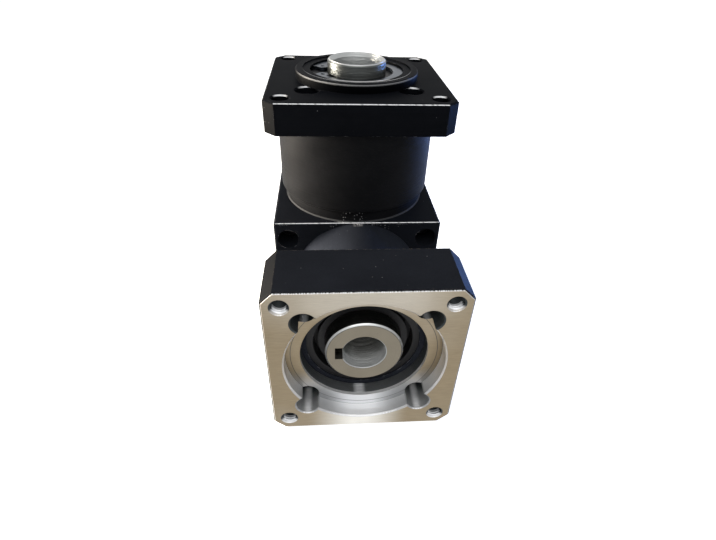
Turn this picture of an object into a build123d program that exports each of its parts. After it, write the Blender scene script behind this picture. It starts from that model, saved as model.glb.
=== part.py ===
from build123d import *

import os
from math import acos, asin, atan, cos, pi, radians, sin, sqrt, tan

# Right angle planetary gearbox: a hollow input shaft drives a bevel pair inside an angle
# housing, the upright shaft carries the sun gear, and the planet carrier is one piece with
# the hollow output shaft.
#
# Millimetres. The origin is the centre of the output flange's mounting face, +Z points out
# of the output and -Y out of the input. "Height" is measured up from the input axis and
# "distance" is measured towards the input from the output axis.

# Overall arrangement
output_height = 66.3
input_distance = 73.0

# Fits, all radial
seat_gap = 0.01
running_gap = 0.05
screw_gap = 0.15
thread_gap = 0.05
side_play = 0.1

# Both flanges
flange_side = 60.0
flange_corner = 3.6
flange_edge = 0.5
mouth_edge = 0.4
mount_spacing = 49.5

# Input flange
input_flange_thickness = 20.0
pilot_recess_dia = 50.0
pilot_recess_depth = 5.0
pilot_recess_edge = 0.5
motor_screw_dia = 5.0
motor_hole_depth = 12.0
motor_countersink_dia = 5.8
pocket_spacing = 36.8
pocket_dia = 7.5
pocket_depth = 14.0

# Angle housing
block_width = 60.0
block_front = 27.2
block_joint = 25.5
block_top = 23.4
block_bottom = 30.0
block_edge = 0.6
neck_dia = 46.4
foot_side = 47.0
foot_corner = 4.0
foot_thickness = 6.0
spigot_dia = 40.6
spigot_length = 10.0
throat_dia = 35.0
shoulder_distance = 29.5
cavity_dia = 38.0
cavity_height = 17.6
register_dia = 40.4
register_height = 1.2
lip_dia = 18.0

# Rear cover and the long screws that hold it
rear_cover_thickness = 4.5
rear_spigot_dia = 34.0
rear_spigot_length = 3.0
rear_screw_side = 50.0
rear_screw_top = 17.0
rear_screw_bottom = 23.6
rear_screw_length = 45.0
rear_counterbore_dia = 7.6
rear_counterbore_depth = 12.0

# Bottom cover
bottom_cover_dia = 49.0
bottom_cover_thickness = 3.0
bottom_spigot_length = 4.0
bottom_spigot_wall = 3.0
bottom_cup_wall = 3.0
bottom_screw_circle = 43.0
bottom_screw_length = 8.0

# Screws
m4_dia = 4.0
m4_head_dia = 7.0
m4_head_height = 4.0
m4_socket = 3.0
m4_socket_depth = 2.2
m3_dia = 3.0
m3_head_dia = 5.6
m3_socket = 2.0
m3_socket_depth = 1.1
foot_screw_length = 12.0
tie_screw_length = 45.0
tie_screw_circle = 47.0
tie_counterbore_dia = 7.8
tie_counterbore_depth = 6.0

# O-rings
oring_section = 1.4

# Input shaft and its bearings
input_shaft_distance = 67.5
input_shaft_dia = 25.0
motor_shaft_dia = 14.0
motor_shaft_depth = 30.5
motor_key_width = 5.0
motor_key_reach = 9.3
shaft_edge = 0.6
spacer_collar_dia = 28.4
stub_end = 10.5
bevel_shaft_dia = 12.0
input_bearing_dia = 37.0
input_bearing_width = 7.0
input_ball_dia = 3.9
input_ball_count = 14
seal_width = 7.0
seal_setback = 0.5
seal_case_wall = 2.2
seal_lip_wall = 2.2
seal_web = 2.0
seal_lip_length = 5.5

# Bevel pair, one to one
bevel_teeth = 20
bevel_module = 1.6
bevel_face = 6.5
bevel_back = 18.5
pinion_hub_dia = 26.0
gear_hub_dia = 14.4
gear_hub_end = 21.3
bevel_key_width = 4.0
bevel_key_length = 6.0
bevel_key_height = 4.0
bevel_key_depth = 2.4

# Upright shaft and its bearings
upright_bearing_dia = 21.0
upright_bearing_width = 5.0
upright_ball_dia = 2.8
upright_ball_count = 11
sun_collar_dia = 15.0
sun_collar_height = 2.0
sun_neck_dia = 10.4

# Planetary stage
gear_module = 0.7
sun_teeth = 18
planet_teeth = 18
planet_count = 3
planet_width = 12.0
ring_addendum = 0.55
pressure_angle = 20.0
tooth_thinning = 0.04
flank_middle = 0.4
ring_gear_dia = 56.0
ring_foot_dia = 52.5
ring_foot_height = 4.2
ring_foot_edge = 0.5
gasket_thickness = 0.4
gasket_proud = 0.2
carrier_dia = 34.8
carrier_disc_thickness = 3.5
end_plate_thickness = 3.0
end_plate_bore = 17.0
end_plate_clearance = 0.3
pillar_dia = 7.0
carrier_screw_length = 8.0
pin_dia = 5.0
pin_setback = 0.2
needle_dia = 1.5
needle_count = 13
needle_play = 0.025
washer_thickness = 0.5
washer_dia = 10.4

# Output shaft, its bearings and the output flange
output_flange_thickness = 10.0
output_mount_dia = 5.5
boss_dia = 42.0
boss_height = 3.0
boss_step_dia = 37.0
boss_step_depth = 0.4
output_spigot_dia = 41.0
output_lip_thickness = 1.0
output_lip_dia = 28.0
output_shaft_dia = 20.0
output_shaft_height = 5.9
output_bore_dia = 16.0
output_bore_edge = 1.2
output_bore_depth = 26.0
output_shoulder_dia = 23.0
output_bearing_dia = 32.0
output_bearing_width = 7.0
output_ball_dia = 3.5
output_ball_count = 13
output_spacer_length = 4.0
output_spacer_wall = 1.6
output_seal_thickness = 0.8
output_seal_relief = 0.1
output_seal_rim_dia = 28.8

# Circlips
output_circlip_lip = 0.6
circlip_thickness = 1.2
circlip_setback = 0.1
circlip_groove = 0.9
circlip_width = 3.4
circlip_ear_inset = 3.2
circlip_ear_dia = 3.9
circlip_ear_hole = 1.6
circlip_ear_angle = 24.5
circlip_gap_angle = 20.0
shaft_circlip_width = 2.3
shaft_circlip_groove = 0.35
shaft_circlip_thickness = 1.0
shaft_circlip_gap_angle = 32.0

# Places that follow from the sizes
input_flange_back = input_distance - input_flange_thickness
spigot_front = input_flange_back + spigot_length
seal_front = spigot_front - seal_setback
seal_back = seal_front - seal_width
front_bearing_front = seal_back - circlip_thickness - circlip_setback
front_bearing_back = front_bearing_front - input_bearing_width
rear_bearing_front = shoulder_distance + input_bearing_width

lower_bearing_top = -gear_hub_end
lower_bearing_bottom = lower_bearing_top - upright_bearing_width
upper_bearing_bottom = block_top - upright_bearing_width

end_plate_bottom = block_top + register_height + end_plate_clearance
end_plate_top = end_plate_bottom + end_plate_thickness
planet_bottom = end_plate_top + washer_thickness + side_play
planet_top = planet_bottom + planet_width
carrier_disc_bottom = planet_top + side_play + washer_thickness
carrier_disc_top = carrier_disc_bottom + carrier_disc_thickness

ring_gear_bottom = block_top + gasket_thickness
ring_gear_top = output_height - output_flange_thickness
boss_top = output_height + boss_height
circlip_top = boss_top - boss_step_depth - output_circlip_lip
output_seal_bottom = circlip_top - circlip_thickness - circlip_setback - output_seal_thickness
upper_output_bearing_top = output_seal_bottom
upper_output_bearing_bottom = upper_output_bearing_top - output_bearing_width
lower_output_bearing_top = upper_output_bearing_bottom - output_spacer_length
lower_output_bearing_bottom = lower_output_bearing_top - output_bearing_width
output_spigot_bottom = lower_output_bearing_bottom - output_lip_thickness
output_shaft_top = output_height + output_shaft_height

# Gear sizes that follow from the teeth
ring_teeth = sun_teeth + 2 * planet_teeth
planet_orbit = gear_module * (sun_teeth + planet_teeth) / 2
ring_root_radius = gear_module * (ring_teeth + 2.5) / 2
ring_tip_radius = gear_module * ring_teeth / 2 - ring_addendum
planet_bore_dia = pin_dia + 2 * needle_dia + 4 * needle_play
bevel_pitch_radius = bevel_module * bevel_teeth / 2
bevel_cone_length = bevel_pitch_radius * sqrt(2)
bevel_inner_scale = 1 - bevel_face / bevel_cone_length
bevel_tip_angle = pi / 4 + atan(bevel_module / bevel_cone_length)
bevel_root_angle = pi / 4 - atan(1.25 * bevel_module / bevel_cone_length)
bevel_root_height = 2 * bevel_pitch_radius / (1 + tan(bevel_root_angle))
bevel_tip_height = 2 * bevel_pitch_radius / (1 + tan(bevel_tip_angle))
circlip_start = bevel_root_height * bevel_inner_scale - shaft_circlip_thickness

os.makedirs("parts", exist_ok=True)


def level(height):
    """Plane square to the output axis, at this height above the input axis."""
    return Plane.XY.offset(height - output_height)


def front(distance):
    """Plane square to the input axis, this far in front of the output axis."""
    return Plane(origin=(0, -distance, -output_height), x_dir=(1, 0, 0), z_dir=(0, -1, 0))


def down_level(height):
    """Plane square to the output axis that faces down, at this height."""
    return Plane(origin=(0, 0, height - output_height), x_dir=(1, 0, 0), z_dir=(0, 0, -1))


def save(piece, label):
    """Name a finished piece and write it to its own file."""
    piece.part.label = label
    export_step(piece.part, f"parts/{label}.step")


def disc(plane, dia, amount, mode=Mode.ADD):
    """Add or cut a round bar that starts on a plane."""
    with BuildSketch(plane) as section:
        Circle(dia / 2)
    extrude(section.sketch, amount=amount, mode=mode)


def turned(plane, outline, mode=Mode.ADD):
    """Add or cut a ring turned from (radius, height) points round a plane's normal."""
    side = Plane(origin=plane.origin, x_dir=plane.x_dir, z_dir=-plane.y_dir)
    with BuildSketch(side) as section:
        with BuildLine():
            Polyline(*outline, close=True)
        make_face()
    revolve(section.sketch, axis=Axis(plane.origin, plane.z_dir), mode=mode)


def tube(plane, outer_dia, inner_dia, amount, mode=Mode.ADD):
    """Add or cut a plain tube that starts on a plane."""
    with BuildSketch(plane) as section:
        Circle(outer_dia / 2)
        Circle(inner_dia / 2, mode=Mode.SUBTRACT)
    extrude(section.sketch, amount=amount, mode=mode)


def drill(plane, places, dia, depth):
    """Cut round holes of one depth below a plane."""
    with BuildSketch(plane) as section:
        with places:
            Circle(dia / 2)
    extrude(section.sketch, amount=-depth, mode=Mode.SUBTRACT)


# Where the screws and mounting holes lie, as seen along their own axis
def mount_places():
    return GridLocations(mount_spacing, mount_spacing, 2, 2)


def pocket_places():
    return GridLocations(pocket_spacing, pocket_spacing, 2, 2)


def tie_places():
    return PolarLocations(tie_screw_circle / 2, 4, start_angle=45)


def bottom_screw_places():
    return PolarLocations(bottom_screw_circle / 2, 4, start_angle=45)


def rear_screw_places():
    side = rear_screw_side / 2
    return Locations(
        (-side, rear_screw_top), (side, rear_screw_top), (-side, -rear_screw_bottom), (side, -rear_screw_bottom)
    )


def planet_places(radius=planet_orbit, start=0):
    return PolarLocations(radius, planet_count, start_angle=start)


def cap_screws(label, plane, places, length):
    """M4 socket cap screws whose heads sit on a plane and whose shanks run below it."""
    with BuildPart() as screws:
        with BuildSketch(plane) as heads:
            with places:
                Circle(m4_head_dia / 2)
        extrude(heads.sketch, amount=m4_head_height)
        chamfer(screws.faces().sort_by(Axis(plane.origin, plane.z_dir))[-4:].edges(), 0.4)
        with BuildSketch(plane) as shanks:
            with places:
                Circle(m4_dia / 2)
        extrude(shanks.sketch, amount=-length)
        with BuildSketch(plane.offset(m4_head_height)) as sockets:
            with places:
                RegularPolygon(m4_socket / 2, 6, major_radius=False)
        extrude(sockets.sketch, amount=-m4_socket_depth, mode=Mode.SUBTRACT)
    save(screws, label)


def flat_screws(label, plane, places, length):
    """M3 countersunk screws whose heads are flush with a plane."""
    cone = (m3_head_dia - m3_dia) / 2
    with BuildPart() as screws:
        with BuildSketch(plane) as heads:
            with places:
                Circle(m3_head_dia / 2)
        with BuildSketch(plane.offset(-cone)) as necks:
            with places:
                Circle(m3_dia / 2)
        for head, neck in zip(heads.sketch.faces(), necks.sketch.faces()):
            loft([head, neck])
        with BuildSketch(plane) as shanks:
            with places:
                Circle(m3_dia / 2)
        extrude(shanks.sketch, amount=-length)
        with BuildSketch(plane) as sockets:
            with places:
                RegularPolygon(m3_socket / 2, 6, major_radius=False)
        extrude(sockets.sketch, amount=-m3_socket_depth, mode=Mode.SUBTRACT)
    save(screws, label)


def ease_mouths(plane, places, dia, edge):
    """Open the mouths of round holes with short cones that start on a plane."""
    with BuildSketch(plane) as mouths:
        with places:
            Circle(dia / 2 + edge)
    with BuildSketch(plane.offset(-edge)) as necks:
        with places:
            Circle(dia / 2)
    for mouth, neck in zip(mouths.sketch.faces(), necks.sketch.faces()):
        loft([mouth, neck], mode=Mode.SUBTRACT)


def countersink(plane, places, through):
    """Cut clearance holes and countersinks for M3 screws below a plane."""
    drill(plane, places, m3_dia + 2 * screw_gap, through)
    narrow = m3_dia + 2 * thread_gap
    ease_mouths(plane, places, narrow, (m3_head_dia - m3_dia) / 2)


def oring(label, plane, groove_floor_dia):
    """O-ring that lies on the floor of a groove, centred on a plane."""
    with BuildPart(plane) as ring:
        Torus(groove_floor_dia / 2 + oring_section / 2, oring_section / 2)
    save(ring, label)


def oring_groove(plane, spigot_dia_here):
    """Cut the groove of an O-ring into a spigot, centred on a plane."""
    floor_dia = spigot_dia_here - 2 * oring_section
    width = oring_section * 1.3
    tube(plane.offset(-width / 2), spigot_dia_here + 1, floor_dia, width, mode=Mode.SUBTRACT)


def ball_bearing(label, plane, bore_dia, outer_dia, width, ball_dia, ball_count):
    """Deep groove bearing above a plane: inner ring, outer ring, and balls in their cage."""
    pitch = (bore_dia + outer_dia) / 4
    shoulder = 0.36 * ball_dia
    groove_radius = 0.52 * ball_dia
    middle = plane.offset(width / 2)
    edge = 0.3

    with BuildPart() as inner_ring:
        tube(plane, 2 * (pitch - shoulder), bore_dia, width)
        chamfer(inner_ring.edges().filter_by(GeomType.CIRCLE).sort_by(SortBy.RADIUS)[:2], edge)
        with BuildPart(middle, mode=Mode.SUBTRACT):
            Torus(pitch, groove_radius)
    save(inner_ring, label + "_inner_ring")

    with BuildPart() as outer_ring:
        tube(plane, outer_dia, 2 * (pitch + shoulder), width)
        chamfer(outer_ring.edges().filter_by(GeomType.CIRCLE).sort_by(SortBy.RADIUS)[-2:], edge)
        with BuildPart(middle, mode=Mode.SUBTRACT):
            Torus(pitch, groove_radius)
    save(outer_ring, label + "_outer_ring")

    cage_wall = 0.3 * ball_dia
    cage_width = 1.25 * ball_dia
    with BuildPart() as ball_set:
        tube(middle.offset(-cage_width / 2), 2 * pitch + cage_wall, 2 * pitch - cage_wall, cage_width)
        with Locations(middle):
            with PolarLocations(pitch, ball_count):
                Cylinder(
                    ball_dia / 2 + running_gap, 2 * cage_wall, rotation=(0, 90, 0), mode=Mode.SUBTRACT
                )
        with Locations(middle):
            with PolarLocations(pitch, ball_count):
                Sphere(ball_dia / 2)
    save(ball_set, label + "_ball_set")


def bore_circlip(label, plane, bore_dia, gap_direction):
    """Internal circlip with two eyed ears, above a plane."""
    radius = bore_dia / 2
    ear_places = [gap_direction - circlip_ear_angle, gap_direction + circlip_ear_angle]
    reach = bore_dia
    with BuildPart() as clip:
        with BuildSketch(plane) as section:
            Circle(radius + circlip_groove - circlip_setback)
            Circle(radius - circlip_width, mode=Mode.SUBTRACT)
            with Locations(Rotation(0, 0, gap_direction)):
                half = radians(circlip_gap_angle)
                corner = (reach * cos(half), reach * sin(half))
                Polygon((0, 0), corner, (corner[0], -corner[1]), align=None, mode=Mode.SUBTRACT)
            for angle in ear_places:
                with PolarLocations(radius - circlip_ear_inset, 1, start_angle=angle):
                    Circle(circlip_ear_dia / 2)
            for angle in ear_places:
                with PolarLocations(radius - circlip_ear_inset, 1, start_angle=angle):
                    Circle(circlip_ear_hole / 2, mode=Mode.SUBTRACT)
        extrude(section.sketch, amount=circlip_thickness)
    save(clip, label)


def shaft_circlip(label, plane, shaft_dia):
    """External circlip, above a plane."""
    reach = shaft_dia
    with BuildPart() as clip:
        with BuildSketch(plane) as section:
            Circle(shaft_dia / 2 + shaft_circlip_width)
            Circle(shaft_dia / 2 - shaft_circlip_groove + seat_gap, mode=Mode.SUBTRACT)
            half = radians(shaft_circlip_gap_angle)
            corner = (reach * cos(half), reach * sin(half))
            Polygon((0, 0), corner, (corner[0], -corner[1]), align=None, mode=Mode.SUBTRACT)
        extrude(section.sketch, amount=shaft_circlip_thickness)
    save(clip, label)


def involute(angle):
    return tan(angle) - angle


def polar(radius, angle):
    return (radius * cos(angle), radius * sin(angle))


def spur_half_angle(teeth, radius, growing):
    """Half angle of a spur tooth at a radius, thinner outwards or, in a ring, inwards."""
    pitch_radius = gear_module * teeth / 2
    slope = radians(pressure_angle)
    base_radius = pitch_radius * cos(slope)
    at_pitch = pi / (2 * teeth) - tooth_thinning / (2 * pitch_radius)
    here = acos(base_radius / max(radius, base_radius))
    change = involute(here) - involute(slope)
    return at_pitch + (change if growing else -change)


def bevel_half_angle(cone_angle):
    """Half angle of a bevel tooth where its flank crosses a cone round the axis."""
    base_cone = asin(sin(pi / 4) * cos(radians(pressure_angle)))

    def turn(angle):
        wide = max(angle, base_cone)
        return acos(cos(wide) / cos(base_cone)) / sin(base_cone) - acos(tan(base_cone) / tan(wide))

    at_pitch = pi / (2 * bevel_teeth) - tooth_thinning / (2 * bevel_pitch_radius)
    return at_pitch + turn(pi / 4) - turn(cone_angle)


def toothed_outline(teeth, inner, outer, half_angle_at, first_angle, flank_start):
    """Closed outline of a gear, whose flanks, tips and roots are arcs."""
    flank = [flank_start, flank_start + flank_middle * (outer - flank_start), outer]
    pitch_angle = 2 * pi / teeth
    for tooth in range(teeth):
        middle = first_angle + tooth * pitch_angle
        rise = [polar(radius, middle - half_angle_at(radius)) for radius in flank]
        fall = [polar(radius, middle + half_angle_at(radius)) for radius in reversed(flank)]
        foot_angle = half_angle_at(flank_start)
        if flank_start > inner:
            Line(polar(inner, middle - foot_angle), rise[0])
            Line(fall[-1], polar(inner, middle + foot_angle))
        ThreePointArc(*rise)
        ThreePointArc(rise[-1], polar(outer, middle), fall[0])
        ThreePointArc(*fall)
        next_foot = polar(inner, middle + pitch_angle - foot_angle)
        ThreePointArc(polar(inner, middle + foot_angle), polar(inner, middle + pitch_angle / 2), next_foot)


def spur_section(plane, teeth, first_angle):
    """Face of an external spur gear."""
    pitch_radius = gear_module * teeth / 2
    base_radius = pitch_radius * cos(radians(pressure_angle))
    root = pitch_radius - 1.25 * gear_module
    tip = pitch_radius + gear_module
    with BuildSketch(plane) as section:
        with BuildLine():
            toothed_outline(
                teeth, root, tip, lambda radius: spur_half_angle(teeth, radius, False), first_angle,
                max(root, base_radius),
            )
        make_face()
    return section.sketch


def ring_hole_section(plane):
    """Face of the toothed hole in the ring gear."""
    def space_half_angle(radius):
        return pi / ring_teeth - spur_half_angle(ring_teeth, radius, True)

    with BuildSketch(plane) as section:
        with BuildLine():
            toothed_outline(
                ring_teeth, ring_tip_radius, ring_root_radius, space_half_angle, pi / ring_teeth, ring_tip_radius
            )
        make_face()
    return section.sketch


def bevel_section(plane, height, first_angle):
    """Slice of a bevel gear square to its axis, at a height above its apex."""
    base_cone = asin(sin(pi / 4) * cos(radians(pressure_angle)))
    with BuildSketch(plane.offset(height)) as section:
        with BuildLine():
            toothed_outline(
                bevel_teeth, height * tan(bevel_root_angle), height * tan(bevel_tip_angle),
                lambda radius: bevel_half_angle(atan(radius / height)), first_angle,
                height * tan(max(base_cone, bevel_root_angle)),
            )
        make_face()
    return section.sketch


def bevel_gear_body(plane, first_angle, hub_dia, hub_end):
    """Bevel gear with its apex at a plane's origin and its back along the normal."""
    tip = 2 * bevel_pitch_radius - bevel_tip_height
    root = 2 * bevel_pitch_radius - bevel_root_height
    bore = bevel_shaft_dia / 2 + seat_gap
    back_edge = 2 * bevel_pitch_radius - bevel_back
    scale = bevel_inner_scale
    near = 0.98 * bevel_tip_height * scale
    far = 1.02 * bevel_back
    slices = [bevel_section(plane, near, first_angle), bevel_section(plane, far, first_angle)]
    loft(slices, ruled=True)
    blank = [
        (bore, bevel_root_height * scale),
        (root * scale, bevel_root_height * scale),
        (tip * scale, bevel_tip_height * scale),
        (tip, bevel_tip_height),
        (back_edge, bevel_back),
        (bore, bevel_back),
    ]
    turned(plane, blank, mode=Mode.INTERSECT)
    tube(plane.offset(bevel_back), hub_dia, 2 * bore, hub_end - bevel_back)
    keyway = bevel_key_height - bevel_key_depth + seat_gap
    slot_top = bevel_shaft_dia / 2 + keyway
    with BuildSketch(plane) as slot:
        with Locations((slot_top / 2, 0)):
            Rectangle(slot_top, bevel_key_width + 2 * seat_gap)
    extrude(slot.sketch, amount=hub_end, mode=Mode.SUBTRACT)


def bevel_key(label, plane):
    """Parallel key between a shaft and its bevel gear."""
    floor = bevel_shaft_dia / 2 - bevel_key_depth
    with BuildPart() as key:
        with BuildSketch(plane.offset(bevel_back - bevel_key_length)) as section:
            with Locations((floor + bevel_key_height / 2, 0)):
                Rectangle(bevel_key_height - 2 * seat_gap, bevel_key_width)
        extrude(section.sketch, amount=bevel_key_length)
    save(key, label)


def key_seat(plane):
    """Cut the seat of a bevel key into a shaft."""
    with BuildSketch(plane.offset(bevel_back - bevel_key_length)) as section:
        with Locations((bevel_shaft_dia / 2 - bevel_key_depth / 2 + 0.5, 0)):
            Rectangle(bevel_key_depth + 1, bevel_key_width + 2 * seat_gap)
    extrude(section.sketch, amount=bevel_key_length, mode=Mode.SUBTRACT)


def shaft_circlip_groove_cut(plane, shaft_dia):
    """Cut the groove of an external circlip, above a plane."""
    floor = shaft_dia - 2 * shaft_circlip_groove
    tube(plane, shaft_dia + 1, floor, shaft_circlip_thickness, mode=Mode.SUBTRACT)


# Angle housing: block, neck, foot and spigot in one casting
with BuildPart() as angle_housing:
    with BuildSketch(front(block_front)):
        with Locations((0, (block_top - block_bottom) / 2)):
            Rectangle(block_width, block_top + block_bottom)
    extrude(amount=-(block_front + block_joint))
    chamfer(angle_housing.edges(), block_edge)
    disc(front(block_front), neck_dia, input_flange_back - block_front)
    with BuildSketch(front(input_flange_back)):
        RectangleRounded(foot_side, foot_side, foot_corner)
    extrude(amount=-foot_thickness)
    disc(front(input_flange_back), spigot_dia, spigot_length)
    disc(level(block_top), register_dia, register_height)
    # Bearing bore, throat, cavity and rear opening
    disc(front(spigot_front), input_bearing_dia + 2 * seat_gap, shoulder_distance - spigot_front, Mode.SUBTRACT)
    disc(front(shoulder_distance), throat_dia, -shoulder_distance, Mode.SUBTRACT)
    disc(level(-block_bottom), cavity_dia, block_bottom + cavity_height, Mode.SUBTRACT)
    disc(level(-block_bottom), bottom_cover_dia, bottom_cover_thickness, Mode.SUBTRACT)
    disc(front(-block_joint), rear_spigot_dia, block_joint, Mode.SUBTRACT)
    # Circlip groove behind the seal
    tube(
        front(front_bearing_front),
        input_bearing_dia + 2 * circlip_groove,
        input_bearing_dia,
        circlip_thickness + circlip_setback,
        Mode.SUBTRACT,
    )
    # Seat and lip of the upper bearing on the upright shaft
    register_top = block_top + register_height
    seat_depth = register_top - upper_bearing_bottom
    disc(level(register_top), upright_bearing_dia + 2 * seat_gap, -seat_depth, Mode.SUBTRACT)
    disc(level(register_top), lip_dia, -(register_top - cavity_height), Mode.SUBTRACT)
    # Screw holes
    tie_end = output_height - tie_counterbore_depth - tie_screw_length
    drill(level(block_top), tie_places(), m4_dia + 2 * thread_gap, block_top - tie_end + 1)
    drill(front(input_flange_back), pocket_places(), m4_dia + 2 * thread_gap, foot_thickness)
    drill(front(block_front), rear_screw_places(), rear_counterbore_dia, rear_counterbore_depth)
    drill(front(block_front), rear_screw_places(), m4_dia + 2 * screw_gap, block_front + block_joint)
    drill(
        down_level(-block_bottom + bottom_cover_thickness),
        bottom_screw_places(),
        m3_dia + 2 * thread_gap,
        bottom_screw_length,
    )
save(angle_housing, "angle_housing")

# Rear cover, with its spigot in the rear opening
with BuildPart() as rear_cover:
    with BuildSketch(front(-block_joint)):
        with Locations((0, (block_top - block_bottom) / 2)):
            Rectangle(block_width, block_top + block_bottom)
    extrude(amount=-rear_cover_thickness)
    chamfer(rear_cover.edges(), block_edge)
    disc(front(-block_joint), rear_spigot_dia - 2 * seat_gap, rear_spigot_length)
    rear_oring_plane = front(-block_joint + rear_spigot_length / 2)
    oring_groove(rear_oring_plane, rear_spigot_dia)
    rear_thread_depth = rear_screw_length - (block_front - rear_counterbore_depth + block_joint) + 1
    drill(front(-block_joint), rear_screw_places(), m4_dia + 2 * thread_gap, rear_thread_depth)
save(rear_cover, "rear_cover")
oring("rear_cover_oring", rear_oring_plane, rear_spigot_dia - 2 * oring_section)
cap_screws(
    "housing_screws", front(block_front - rear_counterbore_depth), rear_screw_places(), rear_screw_length
)

# Bottom cover, with the cup of the lower bearing
with BuildPart() as bottom_cover:
    cover_inside = -block_bottom + bottom_cover_thickness
    disc(level(-block_bottom), bottom_cover_dia - 4 * seat_gap, bottom_cover_thickness)
    chamfer(bottom_cover.edges().group_by(Axis.Z)[0], 0.4)
    disc(level(cover_inside), cavity_dia - 2 * seat_gap, bottom_spigot_length)
    cup_dia = upright_bearing_dia + 2 * bottom_cup_wall
    ditch_dia = cavity_dia - 2 * bottom_spigot_wall
    tube(level(cover_inside), ditch_dia, cup_dia, bottom_spigot_length, Mode.SUBTRACT)
    disc(level(cover_inside), cup_dia, lower_bearing_top - cover_inside)
    disc(level(lower_bearing_top), upright_bearing_dia + 2 * seat_gap, -upright_bearing_width, Mode.SUBTRACT)
    bottom_oring_plane = level(cover_inside + bottom_spigot_length / 2)
    oring_groove(bottom_oring_plane, cavity_dia)
    countersink(down_level(-block_bottom), bottom_screw_places(), bottom_cover_thickness)
save(bottom_cover, "bottom_cover")
oring("bottom_cover_oring", bottom_oring_plane, cavity_dia - 2 * oring_section)
flat_screws("bottom_cover_screws", down_level(-block_bottom), bottom_screw_places(), bottom_screw_length)

# Input flange, which takes the motor
with BuildPart() as input_flange:
    with BuildSketch(front(input_flange_back)):
        Rectangle(flange_side, flange_side)
    extrude(amount=input_flange_thickness)
    chamfer(input_flange.edges().filter_by(Axis.Y), flange_corner)
    chamfer(input_flange.faces().sort_by(Axis.Y)[0].edges(), flange_edge)
    disc(front(input_distance), pilot_recess_dia, -pilot_recess_depth, Mode.SUBTRACT)
    chamfer(
        input_flange.edges().filter_by(GeomType.CIRCLE).group_by(Axis.Y)[0].sort_by(SortBy.RADIUS)[-1],
        pilot_recess_edge,
    )
    disc(front(input_distance), spigot_dia + 2 * seat_gap, -input_flange_thickness, Mode.SUBTRACT)
    drill(front(input_distance), pocket_places(), pocket_dia, pocket_depth)
    drill(front(input_distance), pocket_places(), m4_dia + 2 * screw_gap, input_flange_thickness)
    ease_mouths(front(input_distance), pocket_places(), pocket_dia, mouth_edge)
    drill(front(input_distance), mount_places(), motor_screw_dia, motor_hole_depth)
    with Locations(front(input_distance)):
        with GridLocations(mount_spacing, mount_spacing, 2, 2):
            CounterSinkHole(motor_screw_dia / 2, motor_countersink_dia / 2, depth=motor_hole_depth)
save(input_flange, "input_flange")
cap_screws("input_flange_screws", front(input_distance - pocket_depth), pocket_places(), foot_screw_length)

# Input shaft, hollow for the motor shaft, with a stub for the pinion
with BuildPart() as input_shaft:
    disc(front(shoulder_distance), input_shaft_dia - 2 * seat_gap, input_shaft_distance - shoulder_distance)
    chamfer(input_shaft.edges().group_by(Axis.Y)[0], shaft_edge)
    disc(front(rear_bearing_front), spacer_collar_dia, front_bearing_back - rear_bearing_front)
    disc(front(stub_end), bevel_shaft_dia, shoulder_distance - stub_end)
    chamfer(input_shaft.edges().group_by(Axis.Y)[-1], shaft_edge)
    disc(front(input_shaft_distance), motor_shaft_dia, -motor_shaft_depth, Mode.SUBTRACT)
    chamfer(
        input_shaft.edges().filter_by(GeomType.CIRCLE).group_by(Axis.Y)[0].sort_by(SortBy.RADIUS)[0], shaft_edge / 2
    )
    with BuildSketch(front(input_shaft_distance)):
        with Locations((-motor_key_reach / 2, 0)):
            Rectangle(motor_key_reach, motor_key_width)
    extrude(amount=-motor_shaft_depth, mode=Mode.SUBTRACT)
    shaft_circlip_groove_cut(front(circlip_start), bevel_shaft_dia)
    key_seat(front(0))
save(input_shaft, "input_shaft")

# Oil seal round the input shaft, open to the front
seal_outer = input_bearing_dia / 2
seal_inner = input_shaft_dia / 2 + running_gap
with BuildPart() as input_oil_seal:
    turned(
        front(seal_back),
        [
            (seal_outer, 0),
            (seal_outer, seal_width),
            (seal_outer - seal_case_wall, seal_width),
            (seal_outer - seal_case_wall, seal_web),
            (seal_inner + seal_lip_wall, seal_web),
            (seal_inner + seal_lip_wall, seal_lip_length),
            (seal_inner, seal_lip_length),
            (seal_inner, 0),
        ],
    )
save(input_oil_seal, "input_oil_seal")
bore_circlip("input_circlip", front(seal_back - circlip_thickness), input_bearing_dia, 90)

input_bearing_sizes = (
    input_shaft_dia, input_bearing_dia, input_bearing_width, input_ball_dia, input_ball_count
)
ball_bearing("front_input_bearing", front(front_bearing_back), *input_bearing_sizes)
ball_bearing("rear_input_bearing", front(shoulder_distance), *input_bearing_sizes)

with BuildPart() as input_spacer:
    spacer_wall = (input_bearing_dia - spacer_collar_dia) / 4
    tube(
        front(rear_bearing_front),
        input_bearing_dia,
        input_bearing_dia - 2 * spacer_wall,
        front_bearing_back - rear_bearing_front,
    )
save(input_spacer, "input_spacer")

# Bevel pair: a pinion tooth points down at rest, into a space of the gear
with BuildPart() as bevel_pinion:
    bevel_gear_body(front(0), 0, pinion_hub_dia, shoulder_distance)
save(bevel_pinion, "bevel_pinion")
bevel_key("pinion_key", front(0))
shaft_circlip("pinion_circlip", front(circlip_start), bevel_shaft_dia)

gear_plane = down_level(0)
with BuildPart() as bevel_gear:
    bevel_gear_body(gear_plane, pi / bevel_teeth, gear_hub_dia, gear_hub_end)
save(bevel_gear, "bevel_gear")
bevel_key("gear_key", gear_plane)
shaft_circlip("gear_circlip", gear_plane.offset(circlip_start), bevel_shaft_dia)

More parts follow.
